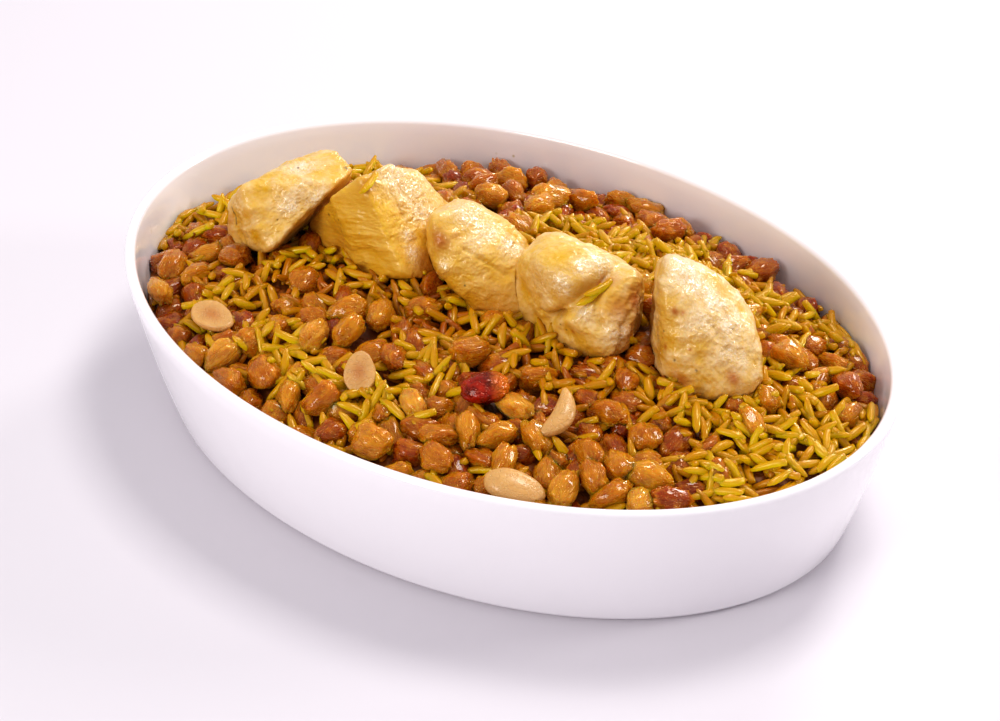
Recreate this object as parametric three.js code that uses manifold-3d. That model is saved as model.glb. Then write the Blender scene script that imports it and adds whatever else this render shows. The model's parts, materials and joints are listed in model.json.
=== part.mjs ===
// An oval porcelain dish of yellow rice with golden raisins, five pieces of
// chicken in a row, four almonds and one red dried fruit.
//
// Millimetres, +Z up. The origin is under the middle of the dish's base and
// +X runs along the dish. The food is one heap of rice and raisins that fills
// the dish, with the toppings resting on it.

import * as THREE from 'three';
import { mergeVertices } from 'three/addons/utils/BufferGeometryUtils.js';
import Module from 'manifold-3d';

const wasm = await Module();
wasm.setup();

// ---------------------------------------------------------------- dimensions

// Dish
const RIM_LENGTH = 330;
const RIM_WIDTH = 234;
const BASE_LENGTH = 299;
const BASE_WIDTH = 207;
const DISH_HEIGHT = 63;
const WALL_BULGE = 1.2; // how far the wall swells out halfway up
const WALL_THICKNESS = 4.6;
const FLOOR_THICKNESS = 6;
const BASE_CORNER = 4;
const INNER_CORNER = 12;
const FOOT_WIDTH = 8;
const FOOT_DEPTH = 1.5; // recess under the base, inside the foot ring
const WALL_MIDDLE = 32; // height of the ring that shapes the wall's swell
const DISH_SIDES = 40;

// Heap of rice and raisins
const FOOD_EDGE_HEIGHT = 49; // where the food meets the wall, on average
const FOOD_EDGE_FRONT_RISE = 5; // the front edge is higher, the back edge lower
const FOOD_EDGE_RIGHT_RISE = 3;
const MOUND_RISE = 15;
const MOUND_POWER = 2.6;
const CREST_RISE = 5; // a low crest behind the middle, which the chicken leans on
const CREST_Y = 42;
const CREST_SPREAD = 24;
const SURFACE_LAYER = 3; // depth of the grains that lie on the bare core
const CORE_SIDE_HEIGHT = 38; // top of the core's side, under its surface all round
const HEAP_RINGS = 7;
const FIT_GAP = 0.3; // between pieces that touch

// Grains and raisins that show
const RAISIN_LENGTH = [13.5, 18];
const RAISIN_WIDTH = 11.6;
const RAISIN_THICKNESS = 9.6;
const RAISIN_SIZE = [0.85, 1.1]; // share of the width and thickness
const RAISIN_RISE = [-2, 0]; // of the middle, over the food's surface
const RAISIN_TILT = [-20, 20];
const RAISIN_COUNT = 50; // besides the ones whose place is given
const RAISIN_SPACING = 12.2;
const GRAIN_LENGTH = [12, 17];
const GRAIN_WIDTH = 3.2;
const GRAIN_RISE = [-2.2, -1.2];
const GRAIN_TILT = [-8, 8];
const GRAIN_COUNT = 84;
const GRAIN_SPACING = 7.5;
const GRAIN_TO_RAISIN = 8;
const SCATTER_REACH = 0.97; // how near the wall they are tried, from the middle to 1
const TRIES = 60; // places tried for each raisin or grain
const WALL_CLEARANCE = 0.2; // on top of the fit gap
const SEED = 20731;

// Share of raisins among the grains: the front band lies before a curve across
// the dish, and the other zones lie beyond an x or a y
const FRONT_BAND = { middle: -34, curve: 0.0016, end: 112, share: 0.95 };
const LEFT_END = { x: -98, share: 0.75 };
const RIGHT_END = { x: 96, share: 0.2 };
const BACK_STRIP = { y: 38, share: 0.6 };
const MIDDLE_SHARE = 0.3;
const GRAIN_SHARE_LIFT = 0.1; // grains lie among the densest raisins too

// The raisins that stand out, each at x, y with its long axis turned by an angle
const RAISINS_IN_VIEW = [
  [-69, -86, 71],
  [-47, -88, -31],
  [-31, -93, 121],
  [-18, -90, 54],
  [-8, -58, 118],
  [13, -75, -31],
  [32, -84, 27],
  [49, -73, 60],
  [15, -41, 67],
  [76, -40, -5],
  [93, -60, -31],
  [106, -59, 26],
  [99, -73, 50],
  [84, -80, 100],
  [117, -62, 41],
  [119, -10, -26],
  [111, 33, 22],
  [134, 36, -38],
  [66, 90, 78],
  [-84, 80, -37],
  [11, 94, -20],
  [-128, -47, 113],
  [-108, -31, -15],
  [-79, -90, -16],
  [-57, -96, -7],
  [12, -98, 5],
  [-26, 64, 82],
  [-48, 62, 40],
  [-66, 79, 49],
  [23, 88, 65],
];

// Toppings
const ROW_TURN = 35; // of the row of chicken, from the dish's long axis
const TOPPING_CLEARANCE = 0.1; // on top of the fit gap
const ALMOND_NARROWING = 0.15; // from the middle to the pointed end

// ------------------------------------------------------------------- helpers

const radians = THREE.MathUtils.degToRad;
const lerp = THREE.MathUtils.lerp;

let seed = SEED;

/** A repeatable draw between low and high. */
function draw(low = 0, high = 1) {
  seed = (seed * 16807) % 2147483647;
  return low + (high - low) * (seed / 2147483647);
}

/** A closed solid from a geometry whose faces share their vertices. */
function solidOf(geometry) {
  const plain = geometry.index ? geometry.clone() : geometry;
  plain.deleteAttribute('normal');
  plain.deleteAttribute('uv');
  const merged = mergeVertices(plain, 1e-4);
  return new wasm.Manifold(
    new wasm.Mesh({
      numProp: 3,
      vertProperties: new Float32Array(merged.attributes.position.array),
      triVerts: new Uint32Array(merged.index.array),
    }),
  );
}

/** The solid's largest connected body, without pockets or loose scraps. */
function mainBody(solid) {
  const bodies = solid.decompose();
  return bodies.reduce((best, body) => (body.volume() > best.volume() ? body : best));
}

function geometryOf(solid) {
  const mesh = solid.getMesh();
  const geometry = new THREE.BufferGeometry();
  geometry.setAttribute('position', new THREE.BufferAttribute(new Float32Array(mesh.vertProperties), 3));
  geometry.setIndex(new THREE.BufferAttribute(new Uint32Array(mesh.triVerts), 1));
  geometry.computeVertexNormals();
  return geometry;
}

function material(color, roughness) {
  return new THREE.MeshStandardMaterial({ color, roughness, metalness: 0 });
}

/**
 * A solid lofted through rings, each a function from the cosine and sine of an
 * angle to a point. It is closed at both ends by a point on the axis.
 */
function loftRings(rings, firstHeight, lastHeight) {
  const positions = [];
  for (const ring of rings) {
    for (let i = 0; i < DISH_SIDES; i += 1) {
      const angle = (2 * Math.PI * i) / DISH_SIDES;
      positions.push(...ring(Math.cos(angle), Math.sin(angle)));
    }
  }
  positions.push(0, 0, firstHeight, 0, 0, lastHeight);
  const firstPole = rings.length * DISH_SIDES;
  const lastPole = firstPole + 1;
  const faces = [];
  for (let i = 0; i < DISH_SIDES; i += 1) {
    const next = (i + 1) % DISH_SIDES;
    faces.push(firstPole, next, i);
    for (let k = 0; k + 1 < rings.length; k += 1) {
      const low = k * DISH_SIDES;
      const high = low + DISH_SIDES;
      faces.push(low + i, low + next, high + next, low + i, high + next, high + i);
    }
    const top = (rings.length - 1) * DISH_SIDES;
    faces.push(lastPole, top + i, top + next);
  }
  const geometry = new THREE.BufferGeometry();
  geometry.setAttribute('position', new THREE.BufferAttribute(new Float32Array(positions), 3));
  geometry.setIndex(faces);
  geometry.computeVertexNormals();
  return geometry;
}

// ---------------------------------------------------------------------- dish

/** Half-length a and half-width b of the wall at a height, drawn in by an inset. */
function wallOval(z, inset) {
  const up = z / DISH_HEIGHT;
  const swell = 4 * WALL_BULGE * up * (1 - up);
  return {
    a: lerp(BASE_LENGTH, RIM_LENGTH, up) / 2 + swell - inset,
    b: lerp(BASE_WIDTH, RIM_WIDTH, up) / 2 + swell - inset,
  };
}

/** A level ring that follows the wall at a height, drawn in by an inset. */
function wallRing(z, inset) {
  const { a, b } = wallOval(z, inset);
  return (cos, sin) => [a * cos, b * sin, z];
}

/** Rings of the cavity from its floor up to a height, clear of the wall by a gap. */
function cavityRings(topHeight, gap) {
  const rings = [];
  for (const turn of [90, 60, 30]) {
    const inset = INNER_CORNER * (1 - Math.cos(radians(turn)));
    const z = FLOOR_THICKNESS + INNER_CORNER * (1 - Math.sin(radians(turn)));
    rings.push(wallRing(z + gap, WALL_THICKNESS + inset + gap));
  }
  for (const z of [FLOOR_THICKNESS + INNER_CORNER, WALL_MIDDLE, topHeight]) {
    rings.push(wallRing(z, WALL_THICKNESS + gap));
  }
  return rings;
}

function buildDish() {
  const rings = [
    wallRing(FOOT_DEPTH, BASE_CORNER + FOOT_WIDTH + FOOT_DEPTH),
    wallRing(0, BASE_CORNER + FOOT_WIDTH),
  ];
  for (const turn of [0, 45, 90]) {
    const inset = BASE_CORNER * (1 - Math.sin(radians(turn)));
    rings.push(wallRing(BASE_CORNER * (1 - Math.cos(radians(turn))), inset));
  }
  rings.push(wallRing(WALL_MIDDLE, 0));
  const lip = WALL_THICKNESS / 2;
  for (const turn of [0, 45, 90, 135, 180]) {
    const z = DISH_HEIGHT - lip + lip * Math.sin(radians(turn));
    rings.push(wallRing(z, lip - lip * Math.cos(radians(turn))));
  }
  rings.push(...cavityRings(FOOD_EDGE_HEIGHT, 0).reverse());
  return loftRings(rings, FOOT_DEPTH, FLOOR_THICKNESS);
}

// ---------------------------------------------------------------------- heap

/** Height of the food's surface over the dish's base. */
function foodHeight(x, y) {
  const oval = wallOval(FOOD_EDGE_HEIGHT, WALL_THICKNESS);
  const reach = Math.min(1, Math.hypot(x / oval.a, y / oval.b));
  const edge = FOOD_EDGE_HEIGHT - (FOOD_EDGE_FRONT_RISE * y) / oval.b + (FOOD_EDGE_RIGHT_RISE * x) / oval.a;
  const mound = MOUND_RISE * (1 - reach ** MOUND_POWER);
  const crest = CREST_RISE * Math.exp(-(((y - CREST_Y) / CREST_SPREAD) ** 2)) * (1 - reach ** 2);
  return edge + mound + crest;
}

/** A ring on the bare core's surface: reach 1 meets the wall, 0 is the middle. */
function surfaceRing(reach, lift) {
  const level = wallOval(FOOD_EDGE_HEIGHT, WALL_THICKNESS + FIT_GAP);
  return (cos, sin) => {
    const edgeHeight = foodHeight(level.a * cos, level.b * sin) - SURFACE_LAYER;
    const edge = wallOval(edgeHeight, WALL_THICKNESS + FIT_GAP);
    const x = edge.a * cos * reach;
    const y = edge.b * sin * reach;
    return [x, y, foodHeight(x, y) - SURFACE_LAYER + lift];
  };
}

/** The bare core that the grains, raisins and toppings lie on. */
function buildCore(lift = 0) {
  const rings = cavityRings(CORE_SIDE_HEIGHT, FIT_GAP);
  for (let k = 0; k < HEAP_RINGS; k += 1) {
    rings.push(surfaceRing(1 - k / HEAP_RINGS, lift));
  }
  return loftRings(rings, FLOOR_THICKNESS + FIT_GAP, foodHeight(0, 0) - SURFACE_LAYER + lift);
}

/** Turns and moves a shape so that it lies on the food at x, y. */
function layOnFood(geometry, x, y, turn, rise, tilt = 0) {
  const step = 3;
  const slopeX = (foodHeight(x + step, y) - foodHeight(x - step, y)) / (2 * step);
  const slopeY = (foodHeight(x, y + step) - foodHeight(x, y - step)) / (2 * step);
  const normal = new THREE.Vector3(-slopeX, -slopeY, 1).normalize();
  const lean = new THREE.Quaternion().setFromUnitVectors(new THREE.Vector3(0, 0, 1), normal);
  const spin = new THREE.Quaternion().setFromEuler(new THREE.Euler(0, radians(tilt), radians(turn), 'ZYX'));
  geometry.applyQuaternion(spin);
  geometry.applyQuaternion(lean);
  geometry.translate(x, y, foodHeight(x, y) + rise);
  return geometry;
}

/** How much of the surface is raisins rather than rice, from 0 to 1. */
function raisinShare(x, y) {
  const bandEdge = FRONT_BAND.middle - FRONT_BAND.curve * x * x;
  if (y < bandEdge && x < FRONT_BAND.end) {
    return FRONT_BAND.share;
  }
  if (x < LEFT_END.x) {
    return LEFT_END.share;
  }
  if (x > RIGHT_END.x) {
    return RIGHT_END.share;
  }
  return y > BACK_STRIP.y ? BACK_STRIP.share : MIDDLE_SHARE;
}

/** Whether a shape stays inside the cavity, clear of its wall. */
function clearOfWall(geometry) {
  const points = geometry.attributes.position;
  for (let i = 0; i < points.count; i += 1) {
    const oval = wallOval(points.getZ(i), WALL_THICKNESS + FIT_GAP + WALL_CLEARANCE);
    if (Math.hypot(points.getX(i) / oval.a, points.getY(i) / oval.b) > 1) {
      return false;
    }
  }
  return true;
}

/** A plump raisin with six sides. */
function raisinShape(length, width, thickness) {
  const shape = new THREE.SphereGeometry(0.5, 6, 5);
  shape.rotateZ(Math.PI / 2);
  shape.scale(length, width, thickness);
  return shape;
}

/** A long grain of rice with five sides and pointed ends. */
function grainShape(length, width) {
  const profile = [
    [0, -0.5],
    [0.42, -0.3],
    [0.42, 0.3],
    [0, 0.5],
  ].map(([radius, along]) => new THREE.Vector2(radius * width, along * length));
  const shape = new THREE.LatheGeometry(profile, 5);
  shape.rotateZ(-Math.PI / 2);
  return shape;
}

/** The core with the raisins and grains that show fused on. */
function buildHeap(toppings) {
  let heap = solidOf(buildCore());
  const sites = [];
  const isFree = (x, y, spacing) => sites.every((site) => Math.hypot(site.x - x, site.y - y) > spacing(site));
  const fuse = (shape, x, y, kind) => {
    const piece = solidOf(shape);
    if (!clearOfWall(shape) || !piece.intersect(toppings).isEmpty()) {
      return false;
    }
    heap = heap.add(piece);
    sites.push({ x, y, kind });
    return true;
  };
  const place = (count, spacing, wanted, make, kind) => {
    const oval = wallOval(FOOD_EDGE_HEIGHT, WALL_THICKNESS);
    let placed = 0;
    for (let tries = 0; tries < count * TRIES && placed < count; tries += 1) {
      const reach = Math.sqrt(draw()) * SCATTER_REACH;
      const around = draw(0, 2 * Math.PI);
      const x = oval.a * reach * Math.cos(around);
      const y = oval.b * reach * Math.sin(around);
      const shape = make(x, y);
      if (draw() < wanted(x, y) && isFree(x, y, spacing) && fuse(shape, x, y, kind)) {
        placed += 1;
      }
    }
  };
  const makeRaisin = (x, y, turn = draw(0, 180)) => {
    const size = draw(...RAISIN_SIZE);
    const shape = raisinShape(draw(...RAISIN_LENGTH), RAISIN_WIDTH * size, RAISIN_THICKNESS * size);
    return layOnFood(shape, x, y, turn, draw(...RAISIN_RISE), draw(...RAISIN_TILT));
  };
  const makeGrain = (x, y) => {
    const shape = grainShape(draw(...GRAIN_LENGTH), GRAIN_WIDTH);
    return layOnFood(shape, x, y, draw(0, 180), draw(...GRAIN_RISE), draw(...GRAIN_TILT));
  };
  const grainSpacing = (site) => (site.kind === 'raisin' ? GRAIN_TO_RAISIN : GRAIN_SPACING);
  const grainShare = (x, y) => 1 + GRAIN_SHARE_LIFT - raisinShare(x, y);
  for (const [x, y, turn] of RAISINS_IN_VIEW) {
    fuse(makeRaisin(x, y, turn), x, y, 'raisin');
  }
  place(RAISIN_COUNT, () => RAISIN_SPACING, raisinShare, makeRaisin, 'raisin');
  place(GRAIN_COUNT, grainSpacing, grainShare, makeGrain, 'grain');
  return mainBody(heap);
}

// ------------------------------------------------------------------- chicken

// Each piece is a rounded lump inside a few flat cuts. A face is
// [azimuth, elevation, distance from the centre]: azimuth 0 looks along the
// row, 90 to the dish's back, -90 to its front. Softness rounds the edges.
// A fold is a crease across the lump, in the plane with the given normal.
const CHICKEN = [
  {
    name: 'chicken_1',
    centre: [-97, -8, 72],
    softness: 13,
    faces: [
      [180, 0, 26.5],
      [134, 44, 15.5],
      [87, 53, 23.5],
      [28, 31, 27],
      [-13, -16, 27],
      [-31, -35, 9],
      [-145, 0, 20.5],
      [-90, 36, 15],
      [0, 90, 15.5],
      [90, -30, 20.5],
      [-90, -60, 18.5],
    ],
  },
  {
    name: 'chicken_2',
    centre: [-58, -2, 72],
    softness: 16,
    faces: [
      [180, 0, 31],
      [136, 43, 19],
      [94, 53, 24],
      [31, 35, 27.5],
      [0, 0, 31],
      [-142, 0, 12],
      [-104, 0, 23],
      [-127, 14, 13],
      [-38, 42, 16.5],
      [90, -30, 22.5],
      [-90, -60, 19],
    ],
  },
  {
    name: 'chicken_3',
    centre: [-13, 0, 72],
    softness: 10,
    faces: [
      [-176, 0, 16.5],
      [123, 49, 23.5],
      [35, 38, 20.5],
      [14, 20, 23],
      [-153, -31, 13],
      [-75, 5, 30],
      [-90, 36, 17.5],
      [-30, 66, 20],
      [-105, 10, 18],
      [90, -30, 22],
      [-90, -60, 22.5],
    ],
  },
  {
    name: 'chicken_4',
    centre: [34, 3, 72],
    softness: 7.5,
    faces: [
      [180, 0, 25.5],
      [158, 27, 27.5],
      [98, 53, 30.5],
      [49, 46, 20.5],
      [0, 0, 32],
      [-138, 0, 16],
      [-80, 0, 35.5],
      [-17, -5, 24],
      [-90, 36, 21],
      [0, 90, 22],
      [90, -30, 23],
      [-90, -60, 22.5],
    ],
    fold: { azimuth: -38, elevation: -40, depth: 4, width: 0.14 },
  },
  {
    name: 'chicken_5',
    centre: [83, 15, 72],
    softness: 7.5,
    faces: [
      [180, 0, 18.5],
      [149, 35, 33],
      [121, 49, 35.5],
      [46, 44, 19],
      [11, 14, 18],
      [-6, -8, 23.5],
      [-130, 0, 25],
      [-90, 0, 37],
      [-90, 36, 20.5],
      [-30, 60, 18.5],
      [90, -30, 26.5],
      [-90, -60, 26],
    ],
  },
];

const CHICKEN_DETAIL = 3;
const CHICKEN_COLOR = 0xe8cf95;

/** Unit vector of an azimuth and elevation measured from the row. */
function rowDirection(azimuth, elevation) {
  const turn = radians(azimuth + ROW_TURN);
  const up = radians(elevation);
  return new THREE.Vector3(Math.cos(turn) * Math.cos(up), Math.sin(turn) * Math.cos(up), Math.sin(up));
}

/** The lump's radius in a direction: a soft blend of its faces. */
function lumpRadius(piece, direction) {
  let sum = 0;
  for (const [azimuth, elevation, distance] of piece.faces) {
    const facing = rowDirection(azimuth, elevation).dot(direction);
    if (facing > 0) {
      sum += (facing / distance) ** piece.softness;
    }
  }
  let radius = sum ** (-1 / piece.softness);
  if (piece.fold) {
    const { azimuth, elevation, depth, width } = piece.fold;
    const across = rowDirection(azimuth, elevation).dot(direction) / width;
    radius -= depth * Math.exp(-across * across) * Math.max(0, direction.dot(rowDirection(-90, 36)));
  }
  return radius;
}

function chickenShape(piece, grow) {
  const shape = new THREE.IcosahedronGeometry(1, CHICKEN_DETAIL);
  const points = shape.attributes.position;
  const direction = new THREE.Vector3();
  for (let i = 0; i < points.count; i += 1) {
    direction.fromBufferAttribute(points, i).normalize();
    const radius = lumpRadius(piece, direction) + grow;
    points.setXYZ(i, direction.x * radius, direction.y * radius, direction.z * radius);
  }
  shape.translate(...piece.centre);
  return shape;
}

// ---------------------------------------------------------- nuts and red fruit

// Almonds lie at x, y with their long axis turned by an angle and their upper
// side tilted. A flat is the height of a split almond's cut face.
const SMALL_TOPPINGS = [
  {
    name: 'almond_half_1', at: [-85, -72], turn: -8, tilt: 8, rise: 2.8,
    size: [20, 13, 8], flat: 1.4, color: 0xf0d9b8,
  },
  {
    name: 'almond_half_2', at: [-10, -76], turn: 118, tilt: -36, rise: 5,
    size: [16, 12, 8], flat: 1.2, color: 0xdda860,
  },
  {
    name: 'almond_sliver', at: [66.5, -55], turn: 100, tilt: -14, rise: 4.2,
    size: [22, 8.5, 6], bend: 4, color: 0xe9c98c,
  },
  {
    name: 'almond_whole', at: [70, -91], turn: 14, tilt: 4, rise: 2.6,
    size: [23, 13, 9], color: 0xe2b08a,
  },
  {
    name: 'red_fruit', at: [34, -58], turn: 40, tilt: -6, rise: 3.4,
    size: [18, 14, 10], blunt: true, color: 0x9c1a08,
  },
];

/** An almond, or a blunt dried fruit, lying on the food. */
function smallTopping(item, grow) {
  const [length, width, thickness] = item.size.map((side) => side / 2 + grow);
  const shape = new THREE.SphereGeometry(1, 8, 6);
  shape.rotateZ(Math.PI / 2);
  const points = shape.attributes.position;
  for (let i = 0; i < points.count; i += 1) {
    const along = points.getX(i);
    const narrowing = item.blunt ? 1 : 1 - ALMOND_NARROWING * along;
    const y = points.getY(i) * width * narrowing + (item.bend ?? 0) * along * along;
    const z = points.getZ(i) * thickness * narrowing;
    points.setXYZ(i, along * length, y, Math.min(z, (item.flat ?? thickness) + grow));
  }
  return layOnFood(shape, ...item.at, item.turn, item.rise, item.tilt);
}

// ------------------------------------------------------------------ assembly

const dishObject = new THREE.Group();

function addPart(name, geometry, finish) {
  const mesh = new THREE.Mesh(geometry, finish);
  mesh.name = name;
  dishObject.add(mesh);
}

const raisedCore = solidOf(buildCore(FIT_GAP));
const toppings = [
  ...[...CHICKEN].reverse().map(({ name, ...piece }) => ({
    name,
    color: CHICKEN_COLOR,
    shape: (grow) => chickenShape(piece, grow),
  })),
  ...SMALL_TOPPINGS.map((item) => ({ ...item, shape: (grow) => smallTopping(item, grow) })),
];

// Toppings are fitted to the bare core and to each other. Each piece of chicken
// lies over the one before it in the row, so the last is whole.
let taken = raisedCore;
let keepClear = null;
for (const topping of toppings) {
  const body = mainBody(solidOf(topping.shape(0)).subtract(taken));
  addPart(topping.name, geometryOf(body), material(topping.color, 0.35));
  const grown = solidOf(topping.shape(FIT_GAP + TOPPING_CLEARANCE));
  taken = taken.add(grown);
  keepClear = keepClear ? keepClear.add(grown) : grown;
}

addPart('dish', buildDish(), material(0xf2ecf4, 0.12));
addPart('rice_and_raisins', geometryOf(buildHeap(keepClear)), material(0xd9a521, 0.4));

export default dishObject;
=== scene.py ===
"""An oval porcelain dish of yellow rice with golden raisins, chicken, almonds and a red dried fruit.

The file is laid out as an add-on and run as a script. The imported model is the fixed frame: every
piece here is made in its place, in metres, over the solid that it stands for.
"""

import json
import math

import bmesh
import bpy
import numpy as np
from bpy.props import FloatProperty, FloatVectorProperty, IntProperty, PointerProperty
from mathutils import Euler, Matrix, Vector, noise

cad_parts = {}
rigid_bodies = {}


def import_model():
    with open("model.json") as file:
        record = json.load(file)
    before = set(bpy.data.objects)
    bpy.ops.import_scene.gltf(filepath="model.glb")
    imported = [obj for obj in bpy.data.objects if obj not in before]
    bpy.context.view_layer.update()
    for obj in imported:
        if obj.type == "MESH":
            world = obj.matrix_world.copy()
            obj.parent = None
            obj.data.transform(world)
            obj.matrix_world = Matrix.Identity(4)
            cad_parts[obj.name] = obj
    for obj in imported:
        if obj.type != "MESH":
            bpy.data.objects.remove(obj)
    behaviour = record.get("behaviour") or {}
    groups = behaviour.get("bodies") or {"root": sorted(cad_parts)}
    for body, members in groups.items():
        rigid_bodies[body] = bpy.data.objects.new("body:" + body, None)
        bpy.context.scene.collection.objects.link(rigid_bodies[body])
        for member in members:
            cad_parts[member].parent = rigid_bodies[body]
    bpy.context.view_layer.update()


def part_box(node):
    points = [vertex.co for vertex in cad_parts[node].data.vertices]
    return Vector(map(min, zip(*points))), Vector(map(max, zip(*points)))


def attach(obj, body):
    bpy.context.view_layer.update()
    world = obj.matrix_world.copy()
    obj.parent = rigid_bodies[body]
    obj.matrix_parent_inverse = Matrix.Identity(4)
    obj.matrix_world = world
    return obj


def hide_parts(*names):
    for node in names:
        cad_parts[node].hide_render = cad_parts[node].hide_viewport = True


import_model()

bl_info = {
    "name": "Dish of Chicken and Raisin Rice",
    "version": (1, 0, 0),
    "blender": (4, 5, 0),
    "location": "View3D > Sidebar > Rice Dish",
    "description": "Builds a porcelain dish of raisin rice with chicken, almonds and dried fruit",
    "category": "Object",
}

MM = 0.001

# ------------------------------------------------------------------ dish and food surface

DISH_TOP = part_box("dish")[1].z
BASE_CORNER = 4 * MM
INNER_CORNER = 12 * MM
FLOOR_THICKNESS = 6 * MM
FOOT_WIDTH = 8 * MM
FOOT_DEPTH = 1.5 * MM
WALL_BULGE = 1.2 * MM
DISH_SIDES = 224
ARC_STEPS = 8
WALL_STEPS = 10

FOOD_EDGE_HEIGHT = 49 * MM
FOOD_EDGE_FRONT_RISE = 5 * MM
FOOD_EDGE_RIGHT_RISE = 3 * MM
MOUND_RISE = 15 * MM
MOUND_POWER = 2.6
CREST_RISE = 5 * MM
CREST_Y = 42 * MM
CREST_SPREAD = 24 * MM
CORE_SIDE_HEIGHT = 34 * MM
CORE_DEPTH = 6.5 * MM  # from the food's surface down to the core between the grains
CORE_RINGS = 64
CORE_RELIEF_HEIGHT = 1.0 * MM
CORE_RELIEF_SIZE = 3.4 * MM
FIT_GAP = 0.3 * MM
ROLL_SIZE = 17 * MM  # low hollows and rises in the food's surface
ROLL_HEIGHT = 3.0 * MM
SLOPE_STEP = 3 * MM
LEFT_END_GAP = 5 * MM  # between the raisins and the wall at the dish's left end
# Painted shadow: the strip of food in front of the chicken, tinted darker as if in its shadow
LEE_MIDDLE = -32 * MM
LEE_SPREAD = 17 * MM
LEE_LENGTH = 125 * MM
# Specks of food on the inner wall: place and radius in millimetres, and strength
WALL_SPECKS = [
    ((-66.4, 99.3, 48.0), 0.9, 0.85),
    ((-63.7, 101.0, 51.0), 0.6, 0.6),
    ((-70.9, 98.2, 51.0), 0.7, 0.3),
    ((-152.5, -27.5, 50.5), 0.5, 0.5),
    ((-150.7, -33.7, 52.5), 1.0, 0.16),
    ((-150.7, -33.2, 54.5), 0.9, 0.16),
]

# ---------------------------------------------------------------------------- raisins

# The raisins that stand out: x and y in millimetres, the turn of the long axis in degrees, and
# the tint from 0, dark brown, to 1, pale gold
RAISINS_IN_VIEW = [
    (-69, -86, 71, 0.95), (-47, -88, -31, 0.40), (-31, -93, 121, 0.78), (-18, -90, 54, 0.36),
    (-8, -58, 118, 0.30), (13, -75, -31, 0.97), (32, -84, 27, 0.50), (49, -73, 60, 0.70),
    (15, -41, 67, 0.58), (76, -40, -5, 0.48), (93, -60, -31, 0.62), (106, -59, 26, 0.82),
    (99, -73, 50, 0.52), (84, -80, 100, 0.86), (117, -62, 41, 0.04), (119, -10, -26, 0.86),
    (111, 33, 22, 0.82), (134, 36, -38, 0.14), (66, 90, 78, 0.22), (-84, 80, -37, 0.42),
    (11, 94, -20, 0.30), (-128, -47, 113, 0.52), (-108, -31, -15, 0.36), (-79, -90, -16, 0.66),
    (-57, -96, -7, 0.44), (12, -98, 5, 0.66), (-26, 64, 82, 0.80), (-48, 62, 40, 0.92),
    (-66, 79, 49, 0.22), (23, 88, 65, 0.26), (-42, -43, 40, 0.66), (-29, -38, 110, 0.70),
    (-43, -62, 115, 0.88), (-32, -55, 80, 0.74),
]
# Places where raisins lie close together and where the rice shows, in millimetres
RAISIN_PATCHES = [
    (-112, -66), (-81, -87), (-54, -97), (-15, -94), (15, -100), (30, -81), (52, -74), (70, -62),
    (91, -62), (99, -44), (-108, -28), (-130, -45), (-38, -56), (-66, -41), (-30, -37), (31, -58),
    (14, -40), (-91, 92), (-64, 91), (-43, 94), (-19, 93), (-53, 65), (-35, 61), (7, 100),
    (26, 104), (46, 103), (72, 98), (91, 90), (109, 36), (134, 40), (64, 1), (117, -62), (74, -36),
]
RICE_PATCHES = [
    (-98, -55), (-86, -33), (-63, -27), (-33, -24), (-12, -30), (6, -27), (28, -26), (42, -21),
    (65, -29), (80, -18), (99, -20), (116, -27), (118, -44), (137, -34), (140, -11), (143, 15),
    (123, 18), (104, 20), (-51, -73), (-37, -78), (-7, -87), (7, -52), (-150, -11), (-11, 58),
    (10, 56), (34, 48), (44, 76), (73, 64), (92, 56), (106, 66), (-130, 10), (-110, 45),
]
PATCH_SPREAD = 11 * MM
PATCH_FLOOR = 0.002  # keeps the shares even where no patch is near
RAISIN_LENGTH = (14.0, 18.5)
RAISIN_WIDTH = 12.4 * MM
RAISIN_THICKNESS = 10.0 * MM
RAISIN_SIDES = 28
RAISIN_RINGS = 13
RAISIN_SHAPES = 12
RAISIN_TAPER = 0.15
RAISIN_BEND = 0.12
# Frequency and height of the relief on a raisin of unit radius
RAISIN_LUMPS = (1.3, 0.2)
RAISIN_DENTS = (3.2, 0.12)
WRINKLE_HEIGHT = (0.07, 0.13)
WRINKLE_CLOSENESS = 2.9
SKIN_STRETCH = (5, 13, 11)  # of the texture over a raisin's length, width and thickness

# The pile of raisins
PILE_REACH = 0.96  # of the way from the middle to the wall
PILE_START = (-6 * MM, 1 * MM)  # height over the food's surface before the raisins are pushed apart
IN_VIEW_START = (-1.2 * MM, 0.4 * MM)
RAISIN_SCALE = (0.86, 1.12)
RAISIN_ROOM = 0.95  # share of its half-width that a raisin keeps clear of others
CHICKEN_ROOM = 0.8  # and of the chicken
TOPPING_ROOM = 5 * MM
RAISIN_TILT = 22
PUSH_STEPS = 70
PUSH_SHARE = 0.35
SINK_STEP = 0.4 * MM
TOPPING_STEPS = (1.0 * MM, 0.5 * MM)  # down and aside, near a nut or the red fruit
PILE_DEPTH = (2.0, 4.0)  # in millimetres where rice lies, and how much more where raisins lie
PILE_HEIGHT = 0.8 * MM
PILE_TINTS = (0.3, 1.02)
# Painted shade: raisins are tinted darker in the strip at the back, where they lie deep in the back wall's
# shadow, under other raisins, and in the chicken's painted shadow
BACK_STRIP = (70, 20)  # the y where it starts, and the way over which it grows, in millimetres
COVER = 1.5  # millimetres under the surface that leave a raisin as it is
PAINTED_SHADE = {"back": 0.25, "under": 0.09, "lee": 0.05}

# ------------------------------------------------------------------------------- rice

GRAIN_SIDES = 6
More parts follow.
